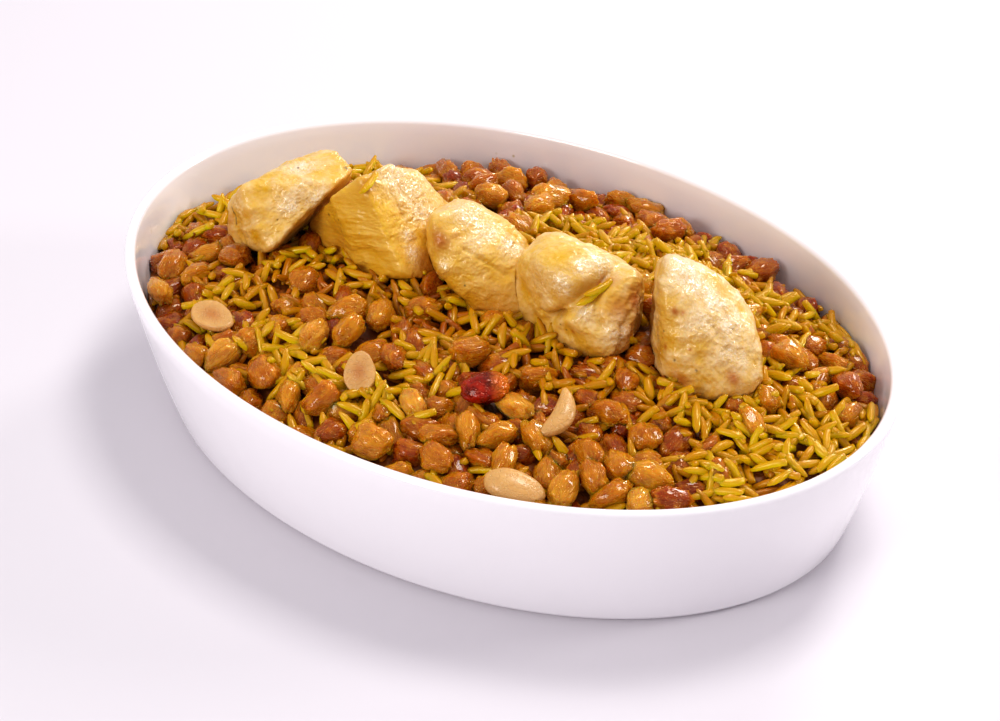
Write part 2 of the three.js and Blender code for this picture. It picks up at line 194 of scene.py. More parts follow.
# Places along a grain of unit length, and its width there
GRAIN_RINGS = ((-0.46, 0.38), (-0.31, 0.82), (-0.04, 1.0), (0.27, 0.9), (0.44, 0.48))
GRAIN_SHAPES = 9
GRAIN_BEND = 1.3
GRAIN_HALF_WIDTH = (0.45, 0.52)
BROKEN_SHARE = 0.35
BROKEN_FROM = 0.4
BROKEN_WIDTH = 0.82
BROKEN_END = 0.47
GRAIN_LAYER = (-5.5 * MM, 0.6 * MM)  # least and most height of the grains over the food's surface
GRAIN_TILT = 0.9
GRAIN_LENGTHS = (0.72, 1.15)
GRAIN_WIDTHS = (0.88, 1.12)
GRAIN_TINT = (0.4, 0.8)  # by chance, and by how high the grain lies: lower grains get painted shade
LAID_TINT = 0.85
# The bed that rice is sown on: how far it reaches to the wall, and what way its rings go inwards
BED_REACH = 0.985
BED_SPAN = 0.98
HIDDEN_DEPTH = 5 * MM  # no grains are sown this far inside the chicken
LEAST_RICE = 0.26  # share of the grains that is left where raisins lie
RICE_SINK = 2.5 * MM
# Painted shade on the rice: in the chicken's shadow strip and among raisins
LEE_SHADE = 0.4
RAISIN_SHADE = 0.2
WALL_STRIP = (0.91, 0.06)  # where the grains start to follow the wall, and over what way
FLOW_SIZE = 15 * MM
WILDNESS = (0.9, 0.2)  # of the grains' turns, in the open and at the wall

# ---------------------------------------------------------------------------- chicken

ROW_TURN = 35
CHICKEN_DETAIL = 7
FOLD_SIDE = (-90, 36)  # the side of a piece that its fold shows on
# Each piece is a rounded lump inside a few flat cuts. A face is azimuth and elevation in degrees
# from the row, and distance in millimetres. Marks lie at an azimuth and elevation too: a crease
# is its points, depth and width, a spot (azimuth, elevation, radius, strength), and a speck
# (azimuth, elevation, radius). Gold is how far the meat has taken up the yellow, from 0 to 1.
# Wet spots make the meat glossier and also paint a pale sheen into its colour.
CHICKEN = [
    {
        "name": "chicken_1",
        "gold": 0.2,
        "centre": (-97, -8, 72),
        "softness": 13,
        "faces": [
            (180, 0, 26.5), (134, 44, 15.5), (87, 53, 23.5), (28, 31, 27), (-13, -16, 27),
            (-31, -35, 9), (-145, 0, 20.5), (-90, 36, 15), (0, 90, 15.5), (90, -30, 20.5),
            (-90, -60, 18.5),
        ],
        "fibre": (-20, 40),
        "creases": [
            ([(-150, 60), (-120, 38), (-95, 8)], 0.7, 0.07),
            ([(-60, 66), (-40, 40)], 0.8, 0.06),
        ],
        "stains": [
            (-137, 45, 0.14, 1), (-6, 54, 0.16, 1), (-160, -6, 0.16, 0.9), (-128, -10, 0.2, 1),
            (-143, 26, 0.3, 0.4), (8, 33, 0.3, 0.7),
        ],
        "browns": [(176, -20, 0.1, 0.6), (-30, -5, 0.3, 0.5)],
        "wet": [(30, 72, 0.3, 1), (-88, 31, 0.3, 1), (-47, 31, 0.25, 1), (-63, 50, 0.3, 0.6)],
        "torn": [(40, 41, 0.4, 1), (26, 35, 0.4, 1), (90, 60, 0.4, 0.6), (8, 33, 0.3, 0.7)],
        "specks": [(40, 74, 0.03), (8, 33, 0.035), (-170, -9, 0.02), (-105, 10, 0.018)],
        "leaf": [(177, -6), (-177, -12), (-174, -19)],
    },
    {
        "name": "chicken_2",
        "gold": 0.8,
        "centre": (-58, -2, 72),
        "softness": 16,
        "faces": [
            (180, 0, 31), (136, 43, 19), (94, 53, 24), (31, 35, 27.5), (0, 0, 31), (-142, 0, 12),
            (-104, 0, 23), (-127, 14, 13), (-38, 42, 16.5), (90, -30, 22.5), (-90, -60, 19),
        ],
        "fibre": (-45, 20),
        "creases": [
            ([(-20, 70), (-30, 40), (-40, 8)], 0.7, 0.06),
            ([(10, 62), (0, 34), (-10, 8)], 0.9, 0.07),
        ],
        "stains": [
            (177, 12, 0.5, 0.7), (-131, 60, 0.4, 0.9), (-158, 2, 0.5, 0.6), (-149, 59, 0.5, 0.7),
            # The wide last stain on the left facet is painted shade: that facet is turned from the light.
            (20, 45, 0.2, 0.5), (-30, 10, 0.3, 0.8), (-85, -14, 0.4, 0.5), (-140, 15, 0.8, 0.55),
        ],
        "browns": [(-43, -17, 0.25, 0.8), (-118, 76, 0.12, 0.6), (-179, -25, 0.3, 0.4)],
        "wet": [
            (25, 68, 0.35, 1), (8, 47, 0.4, 1), (-3, 28, 0.35, 1), (-46, 16, 0.16, 1),
            (-51, 2, 0.14, 1),
        ],
        "torn": [(10, 45, 0.6, 0.7), (60, 70, 0.3, 0.8)],
        "specks": [(166, 9, 0.022), (-170, 20, 0.02), (-160, -2, 0.022), (-120, 20, 0.015)],
    },
    {
        "name": "chicken_3",
        "gold": 0.65,
        "centre": (-13, 0, 72),
        "softness": 10,
        "faces": [
            (-176, 0, 16.5), (123, 49, 23.5), (35, 38, 20.5), (14, 20, 23), (-153, -31, 13),
            (-75, 5, 30), (-90, 36, 17.5), (-30, 66, 20), (-105, 10, 18), (90, -30, 22),
            (-90, -60, 22.5),
        ],
        "fibre": (-120, 20),
        "creases": [
            ([(-104, 49), (-71, 33), (-53, 15)], 0.8, 0.05),
        ],
        "stains": [(-139, 24, 0.3, 0.9), (-119, 0, 0.25, 0.8), (-103, -16, 0.2, 0.6), (60, 60, 0.3, 0.7)],
        "browns": [(-144, 47, 0.16, 1), (-127, 60, 0.1, 0.5), (-63, -8, 0.4, 0.4), (-77, -22, 0.3, 0.5)],
        "wet": [
            (174, 88, 0.35, 1), (-45, 69, 0.35, 1), (-30, 39, 0.25, 1), (-80, 60, 0.3, 0.7),
            (-127, 25, 0.15, 0.7),
        ],
        "torn": [(-26, 39, 0.3, 0.8), (30, 45, 0.4, 0.6)],
        "specks": [(-99, 4, 0.02), (-110, -10, 0.018)],
    },
    {
        "name": "chicken_4",
        "gold": 0.35,
        "centre": (34, 3, 72),
        "softness": 7.5,
        "faces": [
            (180, 0, 25.5), (158, 27, 27.5), (98, 53, 30.5), (49, 46, 20.5), (0, 0, 32), (-138, 0, 16),
            (-80, 0, 35.5), (-17, -5, 24), (-90, 36, 21), (0, 90, 22), (90, -30, 23), (-90, -60, 22.5),
        ],
        "fold": {"azimuth": -38, "elevation": -40, "depth": 4, "width": 0.14},
        "fibre": (-150, 30),
        "creases": [
            ([(-130, 2), (-119, 8), (-96, 20), (-74, 35), (-57, 43), (-38, 50)], 2.4, 0.07),
            ([(-66, 36), (-72, 20), (-70, 8)], 1.5, 0.06),
            ([(-150, 0), (-130, 5), (-115, 14)], 0.9, 0.08),
            ([(-45, 12), (-55, 4), (-60, -14)], 1.2, 0.06),
        ],
        "stains": [
            (-147, 70, 0.3, 1), (-151, 57, 0.3, 0.8), (-101, 61, 0.25, 0.9), (169, 54, 0.3, 0.5),
            (-60, 44, 0.12, 0.8), (-20, 60, 0.3, 0.6),
        ],
        "browns": [
            (-52, 21, 0.2, 0.7), (-35, 21, 0.16, 1), (-96, -3, 0.035, 1), (-45, 46, 0.12, 0.7),
            (-50, -2, 0.2, 0.5),
        ],
        "wet": [
            (-117, 46, 0.22, 1), (-83, 67, 0.2, 1), (-35, 62, 0.25, 1), (-84, 21, 0.16, 0.9),
            (-58, 0, 0.22, 1), (-150, 40, 0.3, 0.5), (-28, 8, 0.2, 1),
        ],
        "torn": [(-30, 10, 0.5, 0.8), (-58, -8, 0.3, 0.8)],
        "specks": [(-112, 0, 0.016), (-104, -4, 0.016)],
    },
    {
        "name": "chicken_5",
        "gold": 0.0,
        "centre": (83, 15, 72),
        "softness": 7.5,
        "faces": [
            (180, 0, 18.5), (149, 35, 33), (121, 49, 35.5), (46, 44, 19), (11, 14, 18), (-6, -8, 23.5),
            (-130, 0, 25), (-90, 0, 37), (-90, 36, 20.5), (-30, 60, 18.5), (90, -30, 26.5),
            (-90, -60, 26),
        ],
        "fibre": (-75, 20),
        "creases": [
            ([(-150, 70), (-110, 62), (-84, 40), (-74, 12)], 0.8, 0.07),
            ([(-60, 62), (-62, 36), (-64, 8)], 0.7, 0.06),
        ],
        "stains": [
            (-152, 43, 0.25, 0.7), (-99, 17, 0.25, 0.9), (-140, 13, 0.25, 0.7), (-96, -14, 0.3, 0.5),
            (-22, 74, 0.3, 0.6), (-60, 20, 0.2, 0.5),
        ],
        "browns": [
            (-134, 42, 0.06, 1), (-125, 44, 0.04, 0.9), (-134, 6, 0.05, 0.9), (-108, 12, 0.03, 0.9),
            (-72, -7, 0.08, 1), (-112, -17, 0.14, 0.8),
        ],
        "wet": [
            (-166, 73, 0.3, 1), (-118, 73, 0.3, 1), (-74, 60, 0.3, 1), (-63, 36, 0.3, 1),
            (-93, 40, 0.3, 0.8), (-70, 12, 0.25, 0.8),
        ],
        "torn": [(-66, 30, 0.5, 0.5), (-90, -10, 0.3, 0.4)],
        "specks": [(-140, 20, 0.018), (-120, 0, 0.02), (-100, -5, 0.016)],
    },
]
LUMP_RELIEF = ((14, 1.6), (5.5, 0.6), (2.2, 0.25))  # wavelength and height in millimetres
FIBRE_LENGTH = 9.0
FIBRE_WIDTH = 1.5
FIBRE_HEIGHT = 0.4
FIBRE_TORN = 1.5  # how much higher the fibres stand where the meat is torn
# Fibre lengths in a bundle of fibres, its height in millimetres, and the mean that levels it
BUNDLE = ((0.3, 0.2, 0.2), 1.3, 0.25)
TORN_HEIGHT = 1.7
TORN_SIZE = 3.5 * MM
TORN_LEVEL = 0.3
WET_GRAIN = (1.3, 0.22)
HOLLOW_DEPTH = 0.8  # millimetres down to the deepest colour
CREASE_HOLLOW = 0.8
LEAF_WIDTH = 0.022
# How far a piece may sink into the food, and the gap that it keeps to the pieces over it
FOOD_OVERLAP = 4 * MM
PIECE_GAP = 0.4 * MM
LEAST_RADIUS = 2 * MM
PRESS_STEPS = 14
# Grains of rice on the chicken: the piece, the azimuth and elevation, and the way the grain points
GRAINS_ON_CHICKEN = [
    ("chicken_2", -112, 78, (-1.6, 12.8, 1.0)),
    ("chicken_4", -74, 36, (4.6, 7.6, 4.9)),
    ("chicken_4", -62, 41, (6.0, 7.0, 4.0)),
]
GRAIN_LIFT = 0.3  # of a grain's width, from the meat to the grain's axis

# ------------------------------------------------------------------ nuts and red fruit

# Almonds and the fruit: place, turn and tilt in degrees, rise, size and flat in millimetres
SMALL_TOPPINGS = {
    "almond_half_1": dict(at=(-85, -72), turn=-8, tilt=8, rise=2.8, size=(20, 13, 8), flat=1.4),
    "almond_half_2": dict(at=(-10, -76), turn=118, tilt=-36, rise=5, size=(16, 12, 8), flat=1.2),
    "almond_sliver": dict(at=(66.5, -55), turn=100, tilt=-14, rise=4.2, size=(22, 8.5, 6), bend=4),
    "almond_whole": dict(at=(70, -91), turn=14, tilt=4, rise=2.6, size=(23, 13, 9)),
    "red_fruit": dict(at=(34, -58), turn=40, tilt=-6, rise=3.4, size=(18, 14, 10), blunt=True),
}
TOPPING_SIDES = 48
TOPPING_RINGS = 32
ALMOND_NARROWING = 0.15
TOPPING_SWELL = 0.03
# The fruit's folds: closeness along and across it, height and level
FRUIT_FOLDS = (1.4, 3, 0.16, 0.3)
FRUIT_EDGE = (1.6, 0.3)  # how fast, and from where along it, the fruit turns orange
TOAST = (0.9, 0.28, 0.1)  # in the middle of a cut face, its spread, and on the skin

# ------------------------------------------------------------------ colours, textures

# Colours that are mixed into those of the panel
SPECK_COLOR = (0.42, 0.34, 0.06)
MUSTARD = (0.60, 0.32, 0.002)
GRAIN_END = (0.50, 0.24, 0.003)
# Painted light on the raisins: deep shade, glow, vein highlight and glint
RAISIN_DEPTH_SHADE = (0.36, 0.10, 0.003)
RAISIN_GLOW = (0.86, 0.60, 0.06)
RAISIN_VEIN_HIGHLIGHT = (0.74, 0.48, 0.08)
PAINTED_GLINT = (1.0, 0.80, 0.42)
PALE_MEAT = (0.92, 0.79, 0.62)
MEAT_STREAK = (0.74, 0.42, 0.04)
GOLDEN_MEAT = (0.76, 0.45, 0.03)
YELLOW_STAIN = (0.66, 0.37, 0.012)
BROWNED_SPOT = (0.46, 0.14, 0.006)
# Painted sheen on the wet chicken
PAINTED_SHEEN_COLOR = (1.0, 0.92, 0.84)
DARK_SPECK = (0.06, 0.035, 0.01)
FRUIT_ORANGE = (0.72, 0.19, 0.01)
# The tints of raisins, with the panel's amber at 0.5; the low tints also carry painted shade
RAISIN_DARK = [(0.0, (0.30, 0.045, 0.003)), (0.25, (0.44, 0.17, 0.005))]
RAISIN_PALE = [(0.78, (0.68, 0.48, 0.04)), (1.0, (0.80, 0.65, 0.2))]
# Shares of the panel's yellow in the darkest and the brightest grains; the dark end paints shade on low and
# shaded grains
RICE_DARK = (0.62, 0.3, 0.5)
RICE_BRIGHT = (1.12, 1.42, 4)
NOISE_ROUGHNESS = 0.55
LINE_WIDTH = 0.07  # of the lines in a moist skin

# ------------------------------------------------------------------------------ stage

CAMERA_AZIMUTH = 35
CAMERA_ELEVATION = 36.5
CAMERA_DISTANCE = 991.5 * MM
CAMERA_AIM = Vector((0, 0, 30 * MM))
SENSOR_WIDTH = 36
FLOOR_SIZE = 8
SKY_COLOR = (0.98, 0.955, 1.0)
LIGHT_COLOR = (1.0, 0.985, 0.96)
# Each soft light's place and side in metres, and its share of the key light's power
SOFT_LIGHTS = {
    "key_light": ((0.1, 0.45, 1.3), 0.42, 1.0),
    "side_light": ((1.1, 0.85, 0.6), 0.3, 0.65),
    "back_light": ((-0.1, 1.3, 0.6), 0.32, 0.8),
    "fill_light": ((-0.35, -1.3, 0.7), 0.55, 1.0),
}


# ---------------------------------------------------------------------------- helpers


def clamp(value):
    """A value held between 0 and 1."""
    return max(0.0, min(1.0, value))


class Draws:
    """Repeatable random draws from a seed."""

    def __init__(self, seed):
        self.state = seed

    def __call__(self, low=0.0, high=1.0):
        self.state = (self.state * 16807) % 2147483647
        return low + (high - low) * self.state / 2147483647


class DishForm:
    """The dish's wall and the food's surface, worked out from the sizes in the panel."""

    def __init__(self, sizes):
        self.rim = (sizes.rim_length / 2, sizes.rim_width / 2)
        self.base = (sizes.base_length / 2, sizes.base_width / 2)
        self.height = sizes.height
        self.wall_thickness = sizes.wall_thickness

    def wall(self, z, inset=0.0):
        """Half-length and half-width of the wall at a height, drawn in by an inset."""
        up = z / self.height
        swell = 4 * WALL_BULGE * up * (1 - up) - inset
        return tuple(base + (rim - base) * up + swell for base, rim in zip(self.base, self.rim))

    def ring(self, z, inset, sides):
        """Points of a level ring that follows the wall."""
        angles = np.arange(sides) * (2 * math.pi / sides)
        a, b = self.wall(z, inset)
        return np.stack([a * np.cos(angles), b * np.sin(angles), np.full(sides, z)], axis=1)

    def reach(self, x, y):
        """0 in the middle of the food, 1 where it meets the wall."""
        a, b = self.wall(FOOD_EDGE_HEIGHT, self.wall_thickness)
        return np.minimum(1, np.hypot(x / a, y / b))

    def food_height(self, x, y):
        """Height of the food's surface over the dish's base."""
        a, b = self.wall(FOOD_EDGE_HEIGHT, self.wall_thickness)
        reach = self.reach(x, y)
        edge = FOOD_EDGE_HEIGHT - FOOD_EDGE_FRONT_RISE * y / b + FOOD_EDGE_RIGHT_RISE * x / a
        mound = MOUND_RISE * (1 - reach**MOUND_POWER)
        crest = CREST_RISE * np.exp(-(((y - CREST_Y) / CREST_SPREAD) ** 2)) * (1 - reach**2)
        return edge + mound + crest

    def rolling_height(self, x, y):
        """Height of the food's surface with its low hollows and rises."""
        return self.food_height(x, y) + ROLL_HEIGHT * wave(Vector((x, y, 0)), ROLL_SIZE)

    def surface_ring(self, reach, depth, sides):
        """A ring on the food's surface, lowered by a depth: reach 1 meets the wall."""
        angles = np.arange(sides) * (2 * math.pi / sides)
        gap = self.wall_thickness + FIT_GAP
        level_a, level_b = self.wall(FOOD_EDGE_HEIGHT, gap)
        edge_height = self.food_height(level_a * np.cos(angles), level_b * np.sin(angles)) - depth
        a, b = self.wall(edge_height, gap)
        x = a * np.cos(angles) * reach
        y = b * np.sin(angles) * reach
        return np.stack([x, y, self.food_height(x, y) - depth], axis=1)

    def lean(self, x, y):
        """The rotation from upright to the food's slope at a place."""
        step = SLOPE_STEP
        slope_x = (self.food_height(x + step, y) - self.food_height(x - step, y)) / (2 * step)
        slope_y = (self.food_height(x, y + step) - self.food_height(x, y - step)) / (2 * step)
        return Vector((0, 0, 1)).rotation_difference(Vector((-slope_x, -slope_y, 1)))


def nearness(x, y, patches):
    """How near a place is to a set of patches."""
    return sum(
        math.exp(-((x - px * MM) ** 2 + (y - py * MM) ** 2) / PATCH_SPREAD**2) for px, py in patches
    )


def raisin_share(x, y):
    """How much of the surface is raisins rather than rice, from 0 to 1."""
    raisins = nearness(x, y, RAISIN_PATCHES) ** 2 + PATCH_FLOOR
    rice = nearness(x, y, RICE_PATCHES) ** 2 + PATCH_FLOOR
    return raisins / (raisins + rice)


def painted_chicken_shadow(x, y):
    """How much a place lies in the chicken's painted shadow, the strip in front of it, from 0 to 1."""
    along = max(0.0, 1 - (x / LEE_LENGTH) ** 4)
    return along * math.exp(-(((y - LEE_MIDDLE) / LEE_SPREAD) ** 2))


def make_mesh(name, points, faces, smooth=True):
    """A mesh from points and faces."""
    mesh = bpy.data.meshes.new(name)
    mesh.from_pydata([tuple(point) for point in points], [], faces)
    mesh.polygons.foreach_set("use_smooth", [smooth] * len(mesh.polygons))
    mesh.update()
    return mesh


def loft(name, rings, first_height, last_height):
    """A closed mesh through rings, each closed at its end by a point on the axis."""
    sides = len(rings[0])
    points = np.concatenate([*rings, [[0, 0, first_height], [0, 0, last_height]]])
    first_pole = len(points) - 2
    last_pole = len(points) - 1
    top = (len(rings) - 1) * sides
    faces = []
    for i in range(sides):
        after = (i + 1) % sides
        faces.append((first_pole, after, i))
        for low in range(0, top, sides):
            faces.append((low + i, low + after, low + sides + after, low + sides + i))
        faces.append((last_pole, top + i, top + after))
    return make_mesh(name, points, faces)


def closed_faces(points, sides):
    """Faces round rings of points that lie between a first and a last point."""
    faces = []
    last = len(points) - 1
    top = last - sides
    for side in range(sides):
        after = (side + 1) % sides
        faces.append((0, 1 + side, 1 + after))
        for low in range(1, top, sides):
            faces.append((low + side, low + sides + side, low + sides + after, low + after))
        faces.append((last, top + after, top + side))
    return faces


def finish_piece(mesh, material, slot, *nodes):
    """Links a finished mesh as a piece that stands for CAD nodes, with the given material. The slot is not
    used.
    """
    piece = bpy.data.objects.new(mesh.name, mesh)
    bpy.context.scene.collection.objects.link(piece)
    mesh.materials.clear()
    mesh.materials.append(material)
    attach(piece, "root")
    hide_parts(*nodes)


def store(mesh, **attributes):
    """Stores a number or three numbers for each point as named attributes."""
    for name, values in attributes.items():
        values = np.asarray(values, dtype=np.float32)
        kind, key = ("FLOAT_VECTOR", "vector") if values.ndim == 2 else ("FLOAT", "value")
        mesh.attributes.new(name, kind, "POINT").data.foreach_set(key, values.ravel())


def store_facing(mesh):
    """How much each point of a mesh faces up: 0 straight down, 1 straight up, for the painted shade on the
    sides.
    """
    normals = np.zeros(len(mesh.vertices) * 3)
    mesh.vertices.foreach_get("normal", normals)
    store(mesh, facing=0.5 + 0.5 * normals.reshape(-1, 3)[:, 2])


def wave(point, size):
    """Smooth noise of a given wavelength at a point, about -1 to 1."""
    return noise.noise(point / size)


# ---------------------------------------------------------------------- node building


class Graph:
    """Adds nodes to a node tree and joins them."""

    def __init__(self, tree):
        self.tree = tree

    def feed(self, socket, value):
        """Joins a socket to an input, or sets the input to a value."""
        if isinstance(value, bpy.types.NodeSocket):
            self.tree.links.new(value, socket)
        else:
            socket.default_value = value

    def add(self, kind, inputs=None, **settings):
        """A node with its settings made and its inputs set to values or joined to sockets."""
        node = self.tree.nodes.new(kind)
        for name, value in settings.items():
            setattr(node, name, value)
        for name, value in (inputs or {}).items():
            self.feed(node.inputs[name], value)
        return node

    def math(self, operation, first, second=0.0, **settings):
        """The result of a math node."""
        return self.add("ShaderNodeMath", {0: first, 1: second}, operation=operation, **settings).outputs[0]

    def plus(self, first, second):
        """The sum of two values."""
        return self.math("ADD", first, second)

    def times(self, first, second):
        """The product of two values."""
        return self.math("MULTIPLY", first, second)

    def mix(self, factor, first, second, blend="MIX"):
        """The result of mixing two colours."""
        inputs = {0: factor, 6: rgba(first), 7: rgba(second)}
        return self.add("ShaderNodeMix", inputs, data_type="RGBA", blend_type=blend).outputs[2]

    def lay(self, base, mask, strength, color):
        """A colour laid over a base where a mask shows, up to a strength."""
        return self.mix(self.times(mask, strength), base, color)

    def ramp(self, factor, stops):
        """The colour of a ramp with stops of place and colour."""
        node = self.add("ShaderNodeValToRGB", {"Fac": factor})
        elements = node.color_ramp.elements
        while len(elements) < len(stops):
            elements.new(0.5)
        for element, (place, color) in zip(elements, stops):
            element.position = place
            element.color = rgba(color)
        return node.outputs["Color"]

    def span(self, value, low, high):
        """A value brought from low..high to 0..1."""
        return self.add("ShaderNodeMapRange", {0: value, 1: low, 2: high}).outputs[0]

    def noise(self, vector, scale, detail=2.0):
        """The factor of a noise texture."""
        inputs = {"Vector": vector, "Scale": scale, "Detail": detail, "Roughness": NOISE_ROUGHNESS}
        return self.add("ShaderNodeTexNoise", inputs).outputs["Fac"]

    def patches(self, vector, scale, low, high, detail=2.0):
        """Soft patches of noise: 0 where it is low, 1 where it is high."""
        return self.span(self.noise(vector, scale, detail), low, high)

    def bump(self, height, distance):
        """The normal of a relief."""
        inputs = {"Height": height, "Distance": distance, "Strength": 1.0}
        return self.add("ShaderNodeBump", inputs).outputs["Normal"]

    def attribute(self, name, output="Fac"):
        """A named attribute of the surface."""
        return self.add("ShaderNodeAttribute", attribute_name=name).outputs[output]


class Surface(Graph):
    """The node tree of a new material with a Principled shader."""

    def __init__(self, name):
        self.material = bpy.data.materials.new(name)
        self.material.use_nodes = True
        super().__init__(self.material.node_tree)
        self.coordinates = None

    @property
    def place(self):
        """Object coordinates, in metres."""
        self.coordinates = self.coordinates or self.add("ShaderNodeTexCoord")
        return self.coordinates.outputs["Object"]

    def skin(self, vector, fold, grain, depth, raised=-1.0):
        """The normal of a moist skin and the mask of its lines."""
        inputs = {"Vector": vector, "Fold Size": fold, "Grain Size": grain, "Raise": raised, "Depth": depth}
        tree = bpy.data.node_groups.get("moist_skin") or moist_skin_group()
        skin = self.add("ShaderNodeGroup", inputs, node_tree=tree)
        return skin.outputs["Normal"], skin.outputs["Line"]

    def mottle(self, size, light, dark):
        """A colour that varies from light to dark in patches of a size."""
        inputs = {"Vector": self.place, "Size": size, "Light": rgba(light), "Dark": rgba(dark)}
        tree = bpy.data.node_groups.get("mottle") or mottle_group()
        return self.add("ShaderNodeGroup", inputs, node_tree=tree).outputs["Color"]

    def paint_side_shade(self, color, depth, low=0.45, high=0.95):
        """Painted shade: a colour that grows deeper, times the given colour, where the surface turns away
        from above.
        """
        deep = self.mix(1.0, color, depth, "MULTIPLY")
        return self.mix(self.span(self.attribute("facing"), low, high), deep, color)

    def finish(self, **values):
        """Feeds the shader's sockets, named with underscores for spaces: the finished material."""
        shader = self.tree.nodes["Principled BSDF"]
        for name, value in values.items():
            self.feed(shader.inputs[name.replace("_", " ")], value)
        return self.material


def rgba(color):
    """A colour with full alpha, or a socket as it is."""
    return color if isinstance(color, bpy.types.NodeSocket) else (*color, 1.0)


def scaled(color, *shares):
    """A colour times a share for each part, or one share for all."""
    return tuple(share * part for share, part in zip(shares * 3, color))


def node_group(name, inputs, outputs, kind="ShaderNodeTree"):
    """A node group with named sockets, and its input and output nodes' sockets.

    An input is given by name, type and its default, if it has one.
    """
    tree = bpy.data.node_groups.new(name, kind)
    for socket, socket_type, *default in inputs:
        made = tree.interface.new_socket(socket, in_out="INPUT", socket_type="NodeSocket" + socket_type)
        for value in default:
            made.default_value = value
    for socket, socket_type in outputs:
        tree.interface.new_socket(socket, in_out="OUTPUT", socket_type="NodeSocket" + socket_type)
    graph = Graph(tree)
    return graph, graph.add("NodeGroupInput").outputs, graph.add("NodeGroupOutput").inputs


def moist_skin_group():
    """Fine relief of moist food: raised or sunk lines and fine grain as a normal, and the lines' mask."""
    inputs = [
        ("Vector", "Vector", (0, 0, 0)),
        ("Fold Size", "Float", 3 * MM),
        ("Grain Size", "Float", 0.7 * MM),
        ("Raise", "Float", 1.0),
        ("Depth", "Float", 0.3 * MM),
    ]
    graph, given, result = node_group("moist_skin", inputs, [("Normal", "Vector"), ("Line", "Float")])
    folds = graph.noise(given["Vector"], graph.math("DIVIDE", 1.0, given["Fold Size"]))
    crest = graph.math("ABSOLUTE", graph.math("SUBTRACT", folds, 0.5))
    line = graph.span(crest, LINE_WIDTH, 0.0)
    grain = graph.noise(given["Vector"], graph.math("DIVIDE", 1.0, given["Grain Size"]))
    swell = graph.plus(folds, graph.times(grain, 0.5))
    height = graph.plus(graph.times(line, given["Raise"]), swell)
    graph.feed(result["Normal"], graph.bump(height, given["Depth"]))
    graph.feed(result["Line"], line)
    return graph.tree


def mottle_group():
    """Two colours mixed in soft patches of a given size."""
    inputs = [
        ("Vector", "Vector", (0, 0, 0)),
        ("Size", "Float", 10 * MM),
        ("Light", "Color", (1, 1, 1, 1)),
        ("Dark", "Color", (0, 0, 0, 1)),
    ]
    graph, given, result = node_group("mottle", inputs, [("Color", "Color")])
    closeness = graph.math("DIVIDE", 1.0, given["Size"])
    patches = graph.patches(given["Vector"], closeness, low=0.35, high=0.65, detail=4.0)
    graph.feed(result["Color"], graph.mix(patches, given["Dark"], given["Light"]))
    return graph.tree


# -------------------------------------------------------------------------- materials


def porcelain_material(color):
    """White glazed porcelain with a few tiny spots of food on the inner wall."""
    graph = Surface("glazed_porcelain")
    waves = graph.noise(graph.place, 1 / (40 * MM))
    glaze = color
    for middle, radius, strength in WALL_SPECKS:
        inputs = {0: graph.place, 1: scaled(middle, MM)}
        away = graph.add("ShaderNodeVectorMath", inputs, operation="DISTANCE").outputs["Value"]
        mask = graph.span(away, 1.4 * radius * MM, 0.5 * radius * MM)
        glaze = graph.lay(glaze, mask, strength, SPECK_COLOR)
    return graph.finish(
        Base_Color=glaze,
        Roughness=0.16,
        Specular_IOR_Level=0.5,
        Coat_Weight=0.5,
        Coat_Roughness=0.05,
        Normal=graph.bump(waves, 0.25 * MM),
    )


def core_material(color):
    """Painted shade: the dark, moist depth between the grains, a dark sheet that stands for the shade deep
    in the heap.
    """
    graph = Surface("rice_depth")
    normal, _ = graph.skin(graph.place, fold=7 * MM, grain=1.4 * MM, depth=0.3 * MM)
    base = graph.mottle(9 * MM, color, scaled(color, 0.45))
    return graph.finish(Base_Color=base, Roughness=0.5, Normal=normal)


def rice_material(color):
    """Cooked yellow rice: each grain has its own tint, partly by chance and partly painted shade, with
    sides painted darker as shade, and a moist sheen.
    """
    graph = Surface("yellow_rice")
    # The tint's dark end is painted shade for grains that lie low or in shade.
    stops = [(0.0, scaled(color, *RICE_DARK)), (0.5, color), (1.0, scaled(color, *RICE_BRIGHT))]
    tint = graph.ramp(graph.attribute("tint"), stops)
    mustard = graph.patches(graph.place, 1 / (24 * MM), low=0.42, high=0.7, detail=3.0)
    spread = graph.lay(tint, mustard, 0.25, MUSTARD)
    ends = graph.math("POWER", graph.attribute("along"), 4.0)
    base = graph.lay(spread, ends, 0.3, GRAIN_END)
    normal, _ = graph.skin(graph.place, fold=2.0 * MM, grain=0.5 * MM, depth=0.05 * MM)
    return graph.finish(
        # Painted shade: sides turned away from above are darker.
        Base_Color=graph.paint_side_shade(base, (0.60, 0.34, 0.2), low=0.1, high=0.85),
        Roughness=0.18,
        Specular_IOR_Level=0.6,
        Specular_Tint=rgba((1.0, 0.88, 0.5)),
        Subsurface_Weight=0.35,
        Subsurface_Radius=(1.0, 0.5, 0.06),
        Subsurface_Scale=3 * MM,
        Normal=normal,
    )


